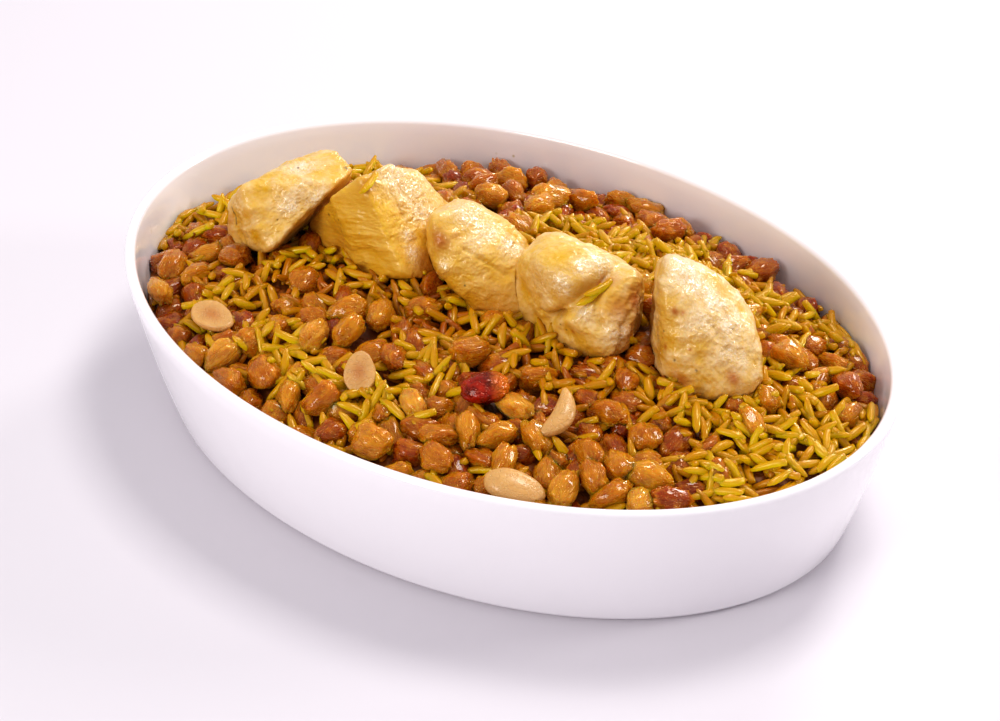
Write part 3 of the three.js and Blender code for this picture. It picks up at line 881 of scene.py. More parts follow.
def raisin_material(color):
    """Translucent golden raisins: amber, brown and pale gold, wrinkled and sticky, with painted glow, deep
    shade, glints and vein highlights, and sides painted darker as shade.
    """
    graph = Surface("golden_raisin")
    tint = graph.ramp(graph.attribute("tint"), [*RAISIN_DARK, (0.5, color), *RAISIN_PALE])
    # Painted translucency: random patches of deep shade and of glow are painted into the colour.
    depth_shade = graph.patches(graph.place, 1 / (6 * MM), low=0.42, high=0.68)
    amber = graph.lay(tint, depth_shade, 0.45, RAISIN_DEPTH_SHADE)
    glows = graph.patches(graph.place, 1 / (4.5 * MM), low=0.46, high=0.7)
    glowing = graph.lay(amber, glows, 0.5, RAISIN_GLOW)
    skin = graph.attribute("skin", "Vector")
    normal, line = graph.skin(skin, fold=2.0, grain=0.8, depth=0.4 * MM, raised=0.9)
    # The lighter vein lines are the skin's veins with a painted highlight on them.
    veins_highlighted = graph.lay(glowing, line, 0.12, RAISIN_VEIN_HIGHLIGHT)
    # Painted glints: small pale patches that stand for glints of light on the skin.
    glints = graph.patches(skin, 1.9, low=0.63, high=0.7)
    glinted = graph.lay(veins_highlighted, glints, 0.22, PAINTED_GLINT)
    return graph.finish(
        # Painted shade: sides turned away from above are deeper in colour.
        Base_Color=graph.paint_side_shade(glinted, (0.82, 0.50, 0.20)),
        Roughness=0.16,
        Specular_IOR_Level=0.4,
        Specular_Tint=rgba((1.0, 0.7, 0.26)),
        Subsurface_Weight=0.9,
        Subsurface_Radius=(1.0, 0.5, 0.07),
        Subsurface_Scale=8 * MM,
        Coat_Weight=0.5,
        Coat_Roughness=0.05,
        Normal=normal,
    )


def chicken_material(color):
    """Moist cooked chicken: cream meat with yellow stains, brown spots and wet fibres, a pale sheen painted
    over the wet spots and sides painted darker as shade.
    """
    graph = Surface("cooked_chicken")
    fibre = graph.attribute("fibre", "Vector")
    pale = [min(1.0, 0.5 * part + 0.5 * full) for part, full in zip(color, PALE_MEAT)]
    fresh = graph.mottle(5 * MM, pale, color)
    streaks = graph.patches(fibre, 0.45, low=0.48, high=0.68, detail=4.0)
    streaked = graph.lay(fresh, streaks, 0.6, MEAT_STREAK)
    meat = graph.mix(graph.attribute("gold"), streaked, GOLDEN_MEAT)
    juice = graph.patches(graph.place, 1 / (6 * MM), low=0.5, high=0.72, detail=4.0)
    hollows = graph.times(graph.attribute("hollow"), 0.7)
    soaked = graph.math("MAXIMUM", graph.times(juice, 0.55), hollows)
    stain = graph.math("MAXIMUM", soaked, graph.attribute("stain"))
    stained = graph.mix(stain, meat, YELLOW_STAIN)
    browned = graph.mix(graph.attribute("brown"), stained, BROWNED_SPOT)
    strands = graph.noise(fibre, 1.0, detail=3.0)
    grain = graph.noise(graph.place, 1 / (0.9 * MM))
    wet = graph.attribute("wet")
    # Painted sheen: pale flecks and a pale veil over the wet spots stand for the gloss of light on the wet
    # meat.
    sheen_flecks = graph.span(graph.plus(grain, graph.times(strands, 0.5)), 0.68, 0.9)
    painted_sheen = graph.times(wet, graph.plus(graph.times(sheen_flecks, 0.4), 0.22))
    sheened_meat = graph.mix(painted_sheen, browned, PAINTED_SHEEN_COLOR)
    base = graph.mix(graph.attribute("speck"), sheened_meat, DARK_SPECK)
    rough = graph.times(grain, graph.plus(graph.times(wet, 1.1), 0.25))
    height = graph.plus(graph.times(strands, 0.7), rough)
    return graph.finish(
        # Painted shade: sides turned away from above are darker.
        Base_Color=graph.paint_side_shade(base, (0.92, 0.80, 0.55)),
        Roughness=graph.math("SUBTRACT", 0.34, graph.times(wet, 0.14)),
        Specular_IOR_Level=0.38,
        Specular_Tint=rgba((1.0, 0.88, 0.6)),
        Subsurface_Weight=0.2,
        Subsurface_Radius=(1.0, 0.55, 0.25),
        Subsurface_Scale=2.5 * MM,
        Coat_Weight=graph.plus(graph.times(wet, 0.75), 0.25),
        Coat_Roughness=0.07,
        Normal=graph.bump(height, 0.6 * MM),
    )


def almond_material(color):
    """Blanched almond, toasted in the middle of its cut face."""
    graph = Surface("blanched_almond")
    meat = graph.mottle(5 * MM, color, scaled(color, 0.88))
    normal, _ = graph.skin(graph.place, fold=2.4 * MM, grain=0.5 * MM, depth=0.15 * MM)
    return graph.finish(
        Base_Color=graph.mix(graph.attribute("toast"), meat, scaled(color, 0.70, 0.46, 0.26)),
        Roughness=0.36,
        Subsurface_Weight=0.25,
        Subsurface_Radius=(1.0, 0.6, 0.3),
        Subsurface_Scale=3 * MM,
        Coat_Weight=0.25,
        Coat_Roughness=0.2,
        Normal=normal,
    )


def red_fruit_material(color):
    """Glossy dark red dried fruit with an orange edge."""
    graph = Surface("red_dried_fruit")
    flesh = graph.mottle(5 * MM, color, scaled(color, 0.35))
    normal, _ = graph.skin(graph.place, fold=3.2 * MM, grain=1.1 * MM, depth=0.6 * MM)
    return graph.finish(
        # On the fruit the toast attribute only turns it orange towards one end.
        Base_Color=graph.mix(graph.attribute("toast"), flesh, FRUIT_ORANGE),
        Roughness=0.2,
        Specular_Tint=rgba((1.0, 0.4, 0.25)),
        Subsurface_Weight=0.5,
        Subsurface_Radius=(1.0, 0.16, 0.04),
        Subsurface_Scale=3 * MM,
        Coat_Weight=0.35,
        Coat_Roughness=0.06,
        Normal=normal,
    )


def floor_material(color):
    """Plain pale floor."""
    return Surface("pale_floor").finish(Base_Color=rgba(color), Roughness=0.6, Specular_IOR_Level=0.2)


# --------------------------------------------------------------------- Geometry Nodes


def geometry_tree(name, inputs):
    """A Geometry Nodes tree with a geometry input and output and further named inputs."""
    geometry = ("Geometry", "Geometry")
    return node_group(name, [geometry, *inputs], [geometry], "GeometryNodeTree")


def named(graph, name, kind="FLOAT"):
    """A named attribute in a Geometry Nodes tree."""
    return graph.add("GeometryNodeInputNamedAttribute", {"Name": name}, data_type=kind).outputs["Attribute"]


def random_number(graph, low, high, seed, offset):
    """A random number for each element, from its own stream of a seed."""
    inputs = {2: low, 3: high, "Seed": graph.plus(seed, float(offset))}
    return graph.add("FunctionNodeRandomValue", inputs, data_type="FLOAT").outputs[1]


def finish_instances(graph, points, given, result):
    """Puts a random shape on each point by its turn and size, realizes it and sets its material."""
    inputs = {"Collection": given["Shapes"], "Separate Children": True, "Reset Children": True}
    shapes = graph.add("GeometryNodeCollectionInfo", inputs)
    rotation = graph.add("FunctionNodeEulerToRotation", {0: named(graph, "turn", "FLOAT_VECTOR")})
    inputs = {
        "Points": points,
        "Instance": shapes.outputs[0],
        "Pick Instance": True,
        "Instance Index": random_number(graph, 0.0, 1000.0, given["Seed"], 4),
        "Rotation": rotation.outputs[0],
        "Scale": named(graph, "size", "FLOAT_VECTOR"),
    }
    instances = graph.add("GeometryNodeInstanceOnPoints", inputs)
    real = graph.add("GeometryNodeRealizeInstances", {0: instances.outputs[0]})
    dressed = graph.add("GeometryNodeSetMaterial", {0: real.outputs[0], "Material": given["Material"]})
    graph.feed(result["Geometry"], dressed.outputs[0])


def keep_values(graph, geometry, **attributes):
    """Stores a value and its kind on points, for each named attribute."""
    for name, (kind, value) in attributes.items():
        inputs = {"Geometry": geometry, "Name": name, "Value": value}
        node = graph.add("GeometryNodeStoreNamedAttribute", inputs, data_type=kind, domain="POINT")
        geometry = node.outputs[0]
    return geometry


def sown_tree():
    """Sows shapes over a surface, thick where its share attribute is high, along its flow.

    Loose points of the surface with the laid attribute set get a shape too, by their own turn and size.
    """
    numbers = ("Density", "Spacing", "Length", "Width", "Lowest", "Highest")
    inputs = [("Shapes", "Collection"), *((name, "Float") for name in numbers)]
    inputs += [("Seed", "Int"), ("Material", "Material")]
    graph, given, result = geometry_tree("sow_over_surface", inputs)
    seed = given["Seed"]
    inputs = {
        "Mesh": given["Geometry"],
        "Distance Min": given["Spacing"],
        "Density Max": given["Density"],
        "Density Factor": named(graph, "share"),
        "Seed": seed,
    }
    sown = graph.add("GeometryNodeDistributePointsOnFaces", inputs, distribute_method="POISSON")
    level = random_number(graph, 0.0, 1.0, seed, 1)
    drop = graph.math("SUBTRACT", given["Highest"], given["Lowest"])
    height = graph.plus(given["Lowest"], graph.times(level, drop))
    up = graph.add("ShaderNodeCombineXYZ", {"Z": graph.plus(height, named(graph, "sink"))})
    inputs = {"Geometry": sown.outputs["Points"], "Offset": up.outputs[0]}
    points = graph.add("GeometryNodeSetPosition", inputs).outputs[0]
    # Painted shade: a grain's tint falls the lower it lies and by the bed's shade attribute.
    by_chance, by_level = GRAIN_TINT
    own = graph.times(random_number(graph, 0.0, 1.0, seed, 2), by_chance)
    light = graph.plus(own, graph.times(level, by_level))
    tint = graph.math("SUBTRACT", light, named(graph, "shade"), use_clamp=True)
    wildness = named(graph, "wildness")
    turn = graph.times(random_number(graph, -1.0, 1.0, seed, 3), wildness)
    tilt = graph.times(random_number(graph, -GRAIN_TILT, GRAIN_TILT, seed, 5), wildness)
    spin = graph.add("ShaderNodeCombineXYZ", {"Y": tilt, "Z": turn})
    inputs = {0: sown.outputs["Normal"], 1: named(graph, "flow", "FLOAT_VECTOR")}
    base = graph.add("FunctionNodeAxesToRotation", inputs, primary_axis="Z", secondary_axis="X")
    local = graph.add("FunctionNodeEulerToRotation", {0: spin.outputs[0]})
    inputs = {0: base.outputs[0], 1: local.outputs[0]}
    rotation = graph.add("FunctionNodeRotateRotation", inputs, rotation_space="LOCAL")
    euler = graph.add("FunctionNodeRotationToEuler", {0: rotation.outputs[0]}).outputs[0]
    length = graph.times(given["Length"], random_number(graph, *GRAIN_LENGTHS, seed, 6))
    width = graph.times(given["Width"], random_number(graph, *GRAIN_WIDTHS, seed, 7))
    size = graph.add("ShaderNodeCombineXYZ", {"X": length, "Y": width, "Z": width}).outputs[0]
    points = keep_values(
        graph, points, turn=("FLOAT_VECTOR", euler), size=("FLOAT_VECTOR", size), tint=("FLOAT", tint)
    )
    is_laid = graph.add("FunctionNodeCompare", {0: named(graph, "laid"), 1: 0.5}).outputs[0]
    laid = graph.add("GeometryNodeMeshToPoints", {"Mesh": given["Geometry"], "Selection": is_laid})
    joined = graph.add("GeometryNodeJoinGeometry", {"Geometry": points})
    graph.feed(joined.inputs[0], laid.outputs[0])
    finish_instances(graph, joined.outputs[0], given, result)
    return graph.tree


def laid_tree():
    """Lays a shape on each point by the point's turn and size attributes."""
    inputs = [("Shapes", "Collection"), ("Seed", "Int"), ("Material", "Material")]
    graph, given, result = geometry_tree("lay_on_points", inputs)
    finish_instances(graph, given["Geometry"], given, result)
    return graph.tree


def run_tree(name, mesh, tree, values):
    """The plain mesh that a Geometry Nodes tree makes of a mesh."""
    carrier = bpy.data.objects.new(name + "_carrier", mesh)
    bpy.context.scene.collection.objects.link(carrier)
    modifier = carrier.modifiers.new("nodes", "NODES")
    modifier.node_group = tree
    for item in tree.interface.items_tree:
        if item.in_out == "INPUT" and item.name in values:
            modifier[item.identifier] = values[item.name]
    carrier.update_tag()
    depsgraph = bpy.context.evaluated_depsgraph_get()
    made = bpy.data.meshes.new_from_object(carrier.evaluated_get(depsgraph))
    made.name = name
    carrier.modifiers.remove(modifier)
    bpy.data.objects.remove(carrier)
    bpy.data.meshes.remove(mesh)
    if not made.polygons:
        raise RuntimeError(f"{name} came out empty")
    store_facing(made)
    return made


def shape_collection(name, meshes):
    """A collection of shapes that a tree picks from."""
    shapes = bpy.data.collections.new(name)
    for index, mesh in enumerate(meshes):
        shapes.objects.link(bpy.data.objects.new(f"{name}_{index:02d}", mesh))
    return shapes


def clear_shapes(shapes):
    """Removes a collection of shapes once they have been used."""
    for shape in list(shapes.objects):
        mesh = shape.data
        bpy.data.objects.remove(shape)
        bpy.data.meshes.remove(mesh)
    bpy.data.collections.remove(shapes)


# ------------------------------------------------------------------------------- dish


def arc(radius, start, end):
    """Steps of an arc as across and up offsets from its centre, angles in degrees."""
    for angle in np.radians(np.linspace(start, end, ARC_STEPS + 1)):
        yield radius * math.cos(angle), radius * math.sin(angle)


def dish_mesh(form):
    """The dish, from the recess under its base over the lip and down to its floor."""
    thickness = form.wall_thickness
    foot = BASE_CORNER + FOOT_WIDTH
    profile = [(FOOT_DEPTH, foot + 2 * FOOT_DEPTH), (FOOT_DEPTH, foot + FOOT_DEPTH), (0, foot)]
    profile += [(BASE_CORNER + up, BASE_CORNER - across) for across, up in arc(BASE_CORNER, -90, 0)]
    lip = thickness / 2
    lip_height = form.height - lip
    profile += [(z, 0) for z in np.linspace(BASE_CORNER, lip_height, WALL_STEPS)[1:-1]]
    profile += [(lip_height + up, lip - across) for across, up in arc(lip, 0, 180)]
    corner_height = FLOOR_THICKNESS + INNER_CORNER
    profile += [(z, thickness) for z in np.linspace(lip_height, corner_height, WALL_STEPS)[1:-1]]
    corner = arc(INNER_CORNER, 0, -90)
    profile += [(corner_height + up, thickness + INNER_CORNER - across) for across, up in corner]
    rings = [form.ring(z, inset, DISH_SIDES) for z, inset in profile]
    return loft("oval_dish", rings, FOOT_DEPTH, FLOOR_THICKNESS)


# ------------------------------------------------------------------------------- heap


def core_mesh(form):
    """The core of the heap, with low relief between the grains."""
    gap = form.wall_thickness + FIT_GAP
    corner_height = FLOOR_THICKNESS + INNER_CORNER
    rings = []
    for across, up in arc(INNER_CORNER, -90, 0):
        rings.append(form.ring(corner_height + up + FIT_GAP, gap + INNER_CORNER - across, DISH_SIDES))
    rings.append(form.ring(CORE_SIDE_HEIGHT, gap, DISH_SIDES))
    for k in range(CORE_RINGS):
        ring = form.surface_ring(1 - k / CORE_RINGS, CORE_DEPTH, DISH_SIDES)
        for point in ring:
            x, y = point[0], point[1]
            point[2] += form.rolling_height(x, y) - form.food_height(x, y)
            point[2] += CORE_RELIEF_HEIGHT * wave(Vector(point), CORE_RELIEF_SIZE)
        rings.append(ring)
    top = form.food_height(0.0, 0.0) - CORE_DEPTH
    return loft("rice_core", rings, FLOOR_THICKNESS + FIT_GAP, top)


def grain_shapes(draws):
    """Long grains of rice of unit length and width, slightly bent, some with a broken end."""
    meshes = []
    for _ in range(GRAIN_SHAPES):
        bend = draws(-GRAIN_BEND, GRAIN_BEND)
        broken = draws() < BROKEN_SHARE
        points = [(-0.5, bend * 0.25, 0)]
        for along, width in GRAIN_RINGS:
            if broken and along > BROKEN_FROM:
                width = BROKEN_WIDTH
            reach = width * draws(*GRAIN_HALF_WIDTH)
            for side in range(GRAIN_SIDES):
                angle = 2 * math.pi * side / GRAIN_SIDES
                y = reach * math.cos(angle) + bend * along * along
                points.append((along, y, reach * math.sin(angle)))
        points.append((BROKEN_END if broken else 0.5, bend * 0.25, 0))
        mesh = make_mesh("grain", points, closed_faces(points, GRAIN_SIDES))
        store(mesh, along=[min(1.0, 2 * abs(point[0])) for point in points])
        meshes.append(mesh)
    return meshes


def lump_points(sides, rings):
    """Points and faces of a unit ball with its poles on the x axis."""
    points = [Vector((-1, 0, 0))]
    for ring in range(1, rings):
        polar = math.pi * ring / rings
        for side in range(sides):
            angle = 2 * math.pi * side / sides
            across = math.sin(polar)
            points.append(Vector((-math.cos(polar), across * math.cos(angle), across * math.sin(angle))))
    points.append(Vector((1, 0, 0)))
    return points, closed_faces(points, sides)


def raisin_shapes(draws):
    """Wrinkled raisins of unit length, width and thickness."""
    lump_closeness, lump_height = RAISIN_LUMPS
    dent_closeness, dent_height = RAISIN_DENTS
    close = WRINKLE_CLOSENESS
    meshes = []
    for _ in range(RAISIN_SHAPES):
        shift = Vector((draws(0, 50), draws(0, 50), draws(0, 50)))
        taper = draws(-RAISIN_TAPER, RAISIN_TAPER)
        bend = draws(-RAISIN_BEND, RAISIN_BEND)
        wrinkle = draws(*WRINKLE_HEIGHT)
        points, faces = lump_points(RAISIN_SIDES, RAISIN_RINGS)
        shaped = []
        for point in points:
            lump = noise.noise(point * lump_closeness + shift) * lump_height
            folded = Vector((point.x, point.y * close, point.z * close)) + shift
            ridge = 1 - 2 * abs(noise.noise(folded))
            dents = noise.noise(point * dent_closeness + shift * 2) * dent_height
            radius = 0.5 * (1 + lump - wrinkle * ridge + dents)
            narrowing = 1 + taper * point.x * 1.5
            y = point.y * radius * narrowing + bend * point.x * point.x
            shaped.append((point.x * radius, y, point.z * radius * narrowing))
        shaped = np.array(shaped)
        low, high = shaped.min(axis=0), shaped.max(axis=0)
        shaped = (shaped - (low + high) / 2) / (high - low)
        mesh = make_mesh("raisin", shaped, faces)
        store(mesh, skin=shaped * SKIN_STRETCH + np.array(shift))
        meshes.append(mesh)
    return meshes


def lump_radius(piece, directions):
    """The lump's radius in each direction, a soft blend of its faces."""
    total = np.zeros(len(directions))
    for azimuth, elevation, distance in piece["faces"]:
        facing = np.maximum(0, directions @ row_direction(azimuth, elevation))
        total += (facing / (distance * MM)) ** piece["softness"]
    radius = total ** (-1 / piece["softness"])
    if "fold" in piece:
        fold = piece["fold"]
        across = directions @ row_direction(fold["azimuth"], fold["elevation"]) / fold["width"]
        front = np.maximum(0, directions @ row_direction(*FOLD_SIDE))
        radius = radius - fold["depth"] * MM * np.exp(-across * across) * front
    return radius


def row_direction(azimuth, elevation):
    """Unit vector of an azimuth and elevation measured from the row of chicken."""
    turn = math.radians(azimuth + ROW_TURN)
    up = math.radians(elevation)
    return np.array([math.cos(turn) * math.cos(up), math.sin(turn) * math.cos(up), math.sin(up)])


def depth_in_chicken(piece, points):
    """How far points lie inside a piece of chicken, and the directions from its centre."""
    offset = points - np.array(piece["centre"]) * MM
    distance = np.linalg.norm(offset, axis=1)
    directions = offset / np.maximum(distance, 1e-6)[:, None]
    return lump_radius(piece, directions) - distance, directions


def pile_spots(form, draws, count):
    """Where raisins lie: those in view first, then others where raisins show more than rice."""
    spots = [(x * MM, y * MM) for x, y, _, _ in RAISINS_IN_VIEW]
    a, b = form.wall(FOOD_EDGE_HEIGHT, form.wall_thickness)
    while len(spots) < count:
        reach = math.sqrt(draws()) * PILE_REACH
        around = draws(0, 2 * math.pi)
        x, y = a * reach * math.cos(around), b * reach * math.sin(around)
        if draws() < raisin_share(x, y) ** 1.5:
            spots.append((x, y))
    return spots


def push_apart(form, places, radii, free, deepest):
    """Settles the free raisins beside and on each other, clear of the wall and the toppings."""
    step_down, step_aside = TOPPING_STEPS
    for _ in range(PUSH_STEPS):
        places[free, 2] -= SINK_STEP
        offset = places[:, None] - places[None]
        distance = np.linalg.norm(offset, axis=2) + np.eye(len(places))
        overlap = np.maximum(0, radii[:, None] + radii[None] - distance)
        np.fill_diagonal(overlap, 0)
        push = (offset / distance[..., None] * overlap[..., None]).sum(axis=1) * PUSH_SHARE
        places[free] += push[free]
        for piece in CHICKEN:
            depth, directions = depth_in_chicken(piece, places)
            inside = free & (depth > -radii * CHICKEN_ROOM)
            places[inside] += directions[inside] * (depth + radii * CHICKEN_ROOM)[inside, None]
        for topping in SMALL_TOPPINGS.values():
            away = places[:, :2] - np.array([side * MM for side in topping["at"]])
            gap = np.linalg.norm(away, axis=1)
            near = free & (gap < radii + TOPPING_ROOM)
            places[near, 2] -= step_down
            places[near, :2] += away[near] / gap[near, None] * step_aside
        clearance = LEFT_END_GAP * np.clip(-places[:, 0] / form.rim[0], 0, 1) ** 4
        wall_a, wall_b = form.wall(places[:, 2], form.wall_thickness + radii + clearance)
        reach = np.hypot(places[:, 0] / wall_a, places[:, 1] / wall_b)
        outside = free & (reach > 1)
        places[outside, :2] /= reach[outside, None]
        surface = np.array([form.rolling_height(x, y) for x, y, _ in places])
        places[free, 2] = np.clip(places[:, 2], surface - deepest, surface + PILE_HEIGHT)[free]


def pile_tint(form, draws, y, place):
    """A raisin's tint, drawn by chance and darkened as painted shade in the strip at the back, under others
    and in the chicken's painted shadow.
    """
    start, spread = BACK_STRIP
    back = clamp((y / MM - start) / spread)
    under = max(0.0, (form.rolling_height(place[0], place[1]) - place[2]) / MM - COVER)
    shade_drop = PAINTED_SHADE["back"] * back + PAINTED_SHADE["under"] * under
    shade_drop += PAINTED_SHADE["lee"] * painted_chicken_shadow(place[0], place[1])
    return clamp(draws(*PILE_TINTS) - shade_drop)


def pile_raisins(form, draws, count):
    """Points that carry the size, turn and tint of raisins that lie beside and on each other."""
    given = len(RAISINS_IN_VIEW)
    spots = pile_spots(form, draws, count)
    places = np.array([(x, y, form.rolling_height(x, y) + draws(*PILE_START)) for x, y in spots])
    sizes = np.array([draws(*RAISIN_SCALE) for _ in spots])
    places[:given, 2] = [form.food_height(x, y) + draws(*IN_VIEW_START) for x, y in spots[:given]]
    radii = RAISIN_WIDTH / 2 * RAISIN_ROOM * sizes
    share = np.array([raisin_share(x, y) for x, y in spots])
    least, more = PILE_DEPTH
    free = np.arange(len(spots)) >= given
    push_apart(form, places, radii, free, (least + more * share) * MM)
    tints = [tint for _, _, _, tint in RAISINS_IN_VIEW]
    turns = [turn for _, _, turn, _ in RAISINS_IN_VIEW]
    for (_, y), place in zip(spots[given:], places[given:]):
        tints.append(pile_tint(form, draws, y, place))
        turns.append(draws(0, 360))
    lengths = [draws(*RAISIN_LENGTH) * MM for _ in spots]
    scales, eulers = [], []
    for place, size, turn, length in zip(places, sizes, turns, lengths):
        angles = (draws(0, 360), draws(-RAISIN_TILT, RAISIN_TILT), turn)
        spin = Euler([math.radians(angle) for angle in angles])
        eulers.append(tuple((form.lean(place[0], place[1]) @ spin.to_quaternion()).to_euler()))
        scales.append((length, RAISIN_WIDTH * size, RAISIN_THICKNESS * size))
    mesh = make_mesh("raisin_points", places, [])
    store(mesh, size=scales, turn=eulers, tint=tints)
    return mesh


def grains_on_chicken(length, width):
    """Places, turns and sizes of the grains of rice that lie on the chicken."""
    pieces = {piece["name"]: piece for piece in CHICKEN}
    grains = []
    for name, azimuth, elevation, way in GRAINS_ON_CHICKEN:
        piece = pieces[name]
        upward = Vector(row_direction(azimuth, elevation))
        reach = float(lump_radius(piece, np.array([upward]))[0]) + GRAIN_LIFT * width
        along = Vector(way)
        along = (along - along.dot(upward) * upward).normalized()
        turn = Matrix((along, upward.cross(along), upward)).transposed().to_euler()
        place = Vector(piece["centre"]) * MM + reach * upward
        grains.append((tuple(place), tuple(turn), (length, width, width)))
    return grains


def bed_flow(form, x, y):
    """The way the grains lie at a place, and their wildness: along the wall and calmer beside it."""
    start, spread = WALL_STRIP
    near_wall = clamp((form.reach(x, y) - start) / spread)
    angle = 2 * math.pi * wave(Vector((x, y, 0)), FLOW_SIZE)
    half_length, half_width = form.rim
    along_wall = Vector((-y * half_length / half_width, x * half_width / half_length, 0)).normalized()
    free = Vector((math.cos(angle), math.sin(angle), 0))
    open_wildness, wall_wildness = WILDNESS
    wildness = open_wildness * (1 - near_wall) + wall_wildness * near_wall
    return tuple(free.lerp(along_wall, near_wall).normalized()), wildness


def bed_mesh(form, length, width):
    """The food's surface as a thin bed to sow rice on, with its share of rice and its flow.

    The grains on the chicken, of the given length and width, follow as loose points.
    """
    reaches = [BED_REACH - BED_SPAN * k / CORE_RINGS for k in range(CORE_RINGS)]
    points = np.concatenate([form.surface_ring(reach, 0, DISH_SIDES) for reach in reaches])
    points[:, 2] = [form.rolling_height(x, y) for x, y, _ in points]
    faces = []
    for ring in range(CORE_RINGS - 1):
        for side in range(DISH_SIDES):
            low, after = ring * DISH_SIDES, (side + 1) % DISH_SIDES
            faces.append((low + side, low + after, low + DISH_SIDES + after, low + DISH_SIDES + side))
    hidden = np.zeros(len(points), dtype=bool)
    for piece in CHICKEN:
        depth, _ = depth_in_chicken(piece, points)
        hidden |= depth > HIDDEN_DEPTH
    laid = grains_on_chicken(length, width)
    rows = []
    for (x, y, _), covered in zip(points, hidden):
        rice = 1 - raisin_share(x, y)
        flow, wildness = bed_flow(form, x, y)
        share = 0.0 if covered else LEAST_RICE + (1 - LEAST_RICE) * rice
        # Painted shade: rice in the chicken's painted shadow and among raisins is tinted darker.
        shade = LEE_SHADE * painted_chicken_shadow(x, y) + RAISIN_SHADE * (1 - rice)
        rows.append((share, -RICE_SINK * (1 - rice), shade, wildness, flow))
    rows += [(0.0, 0.0, 0.0, 0.0, (0.0, 0.0, 0.0))] * len(laid)
    share, sink, shade, wildness, flow = zip(*rows)
    bed = [0.0] * len(points)
    origin = [(0.0, 0.0, 0.0)] * len(points)
    mesh = make_mesh("rice_bed", [*points, *(place for place, _, _ in laid)], faces)
    store(mesh, share=share, sink=sink, shade=shade, flow=flow, wildness=wildness)
    store(mesh, laid=bed + [1.0] * len(laid), tint=bed + [LAID_TINT] * len(laid))
    store(mesh, turn=origin + [turn for _, turn, _ in laid], size=origin + [size for _, _, size in laid])
    return mesh


# ---------------------------------------------------------------------------- chicken


def spot_values(directions, spots):
    """The strength of a set of round spots in each direction."""
    values = np.zeros(len(directions))
    for azimuth, elevation, radius, strength in spots:
        away = np.linalg.norm(directions - row_direction(azimuth, elevation), axis=1)
        values = np.maximum(values, strength * np.exp(-((away / radius) ** 2)))
    return values


def crease_depth(directions, crease):
    """How deep a crease lies in each direction: full on its line, fading beside it."""
    stops, depth, width = crease
    line = [row_direction(*stop) for stop in stops]
    nearest = np.full(len(directions), 9.0)
    for start, end in zip(line, line[1:]):
        along = end - start
        share = np.clip((directions - start) @ along / (along @ along), 0, 1)
        away = np.linalg.norm(directions - start - share[:, None] * along, axis=1)
        nearest = np.minimum(nearest, away)
    return depth * MM * np.exp(-((nearest / width) ** 2))


def fibre_frame(piece):
    """Rows that bring a place to lengths along and across the piece's fibres."""
    along = Vector(row_direction(*piece["fibre"]))
    across = along.cross(Vector((0, 0, 1))).normalized()
    upward = along.cross(across)
    rows = (along / (FIBRE_LENGTH * MM), across / (FIBRE_WIDTH * MM), upward / (FIBRE_WIDTH * MM))
    return np.array([tuple(row) for row in rows])


def press_clear(piece, later, form, directions, radius):
    """Shortens the radius where a piece would enter the core or a piece that lies over it."""
    centre = np.array(piece["centre"]) * MM
    low, high = np.full(len(radius), LEAST_RADIUS), radius.copy()

    def is_free(reach):
        points = centre + directions * reach[:, None]
        free = points[:, 2] > form.food_height(points[:, 0], points[:, 1]) - FOOD_OVERLAP
        for other in later:
            depth, _ = depth_in_chicken(other, points)
            free &= depth < -PIECE_GAP
        return free

    whole = is_free(high)
    for _ in range(PRESS_STEPS):
        middle = (low + high) / 2
        free = is_free(middle)
        low = np.where(free, middle, low)
        high = np.where(free, high, middle)
    return np.where(whole, radius, low)


def meat_relief(surface, strands, torn, wet):
    """The height of lumps, fibres, bundles, torn edges and wet grain at each point, in millimetres."""
    bundle_shares, bundle_height, bundle_level = BUNDLE
    grain_size, grain_height = WET_GRAIN
    relief = np.zeros(len(surface))
    for index, (place, strand) in enumerate(zip(surface, strands)):
        spot = Vector(place)
        height = sum(tall * wave(spot, size * MM) for size, tall in LUMP_RELIEF)
        ridge = 0.5 - abs(noise.noise(Vector(strand)))
        bundle = noise.noise(Vector(share * part for share, part in zip(bundle_shares, strand)))
        height += bundle_height * (bundle_level - abs(bundle))
        height += FIBRE_HEIGHT * (1 + FIBRE_TORN * torn[index]) * ridge
        height += TORN_HEIGHT * torn[index] * (TORN_LEVEL - abs(wave(spot, TORN_SIZE)))
        height += grain_height * wet[index] * wave(spot, grain_size * MM)
        relief[index] = height
    return relief


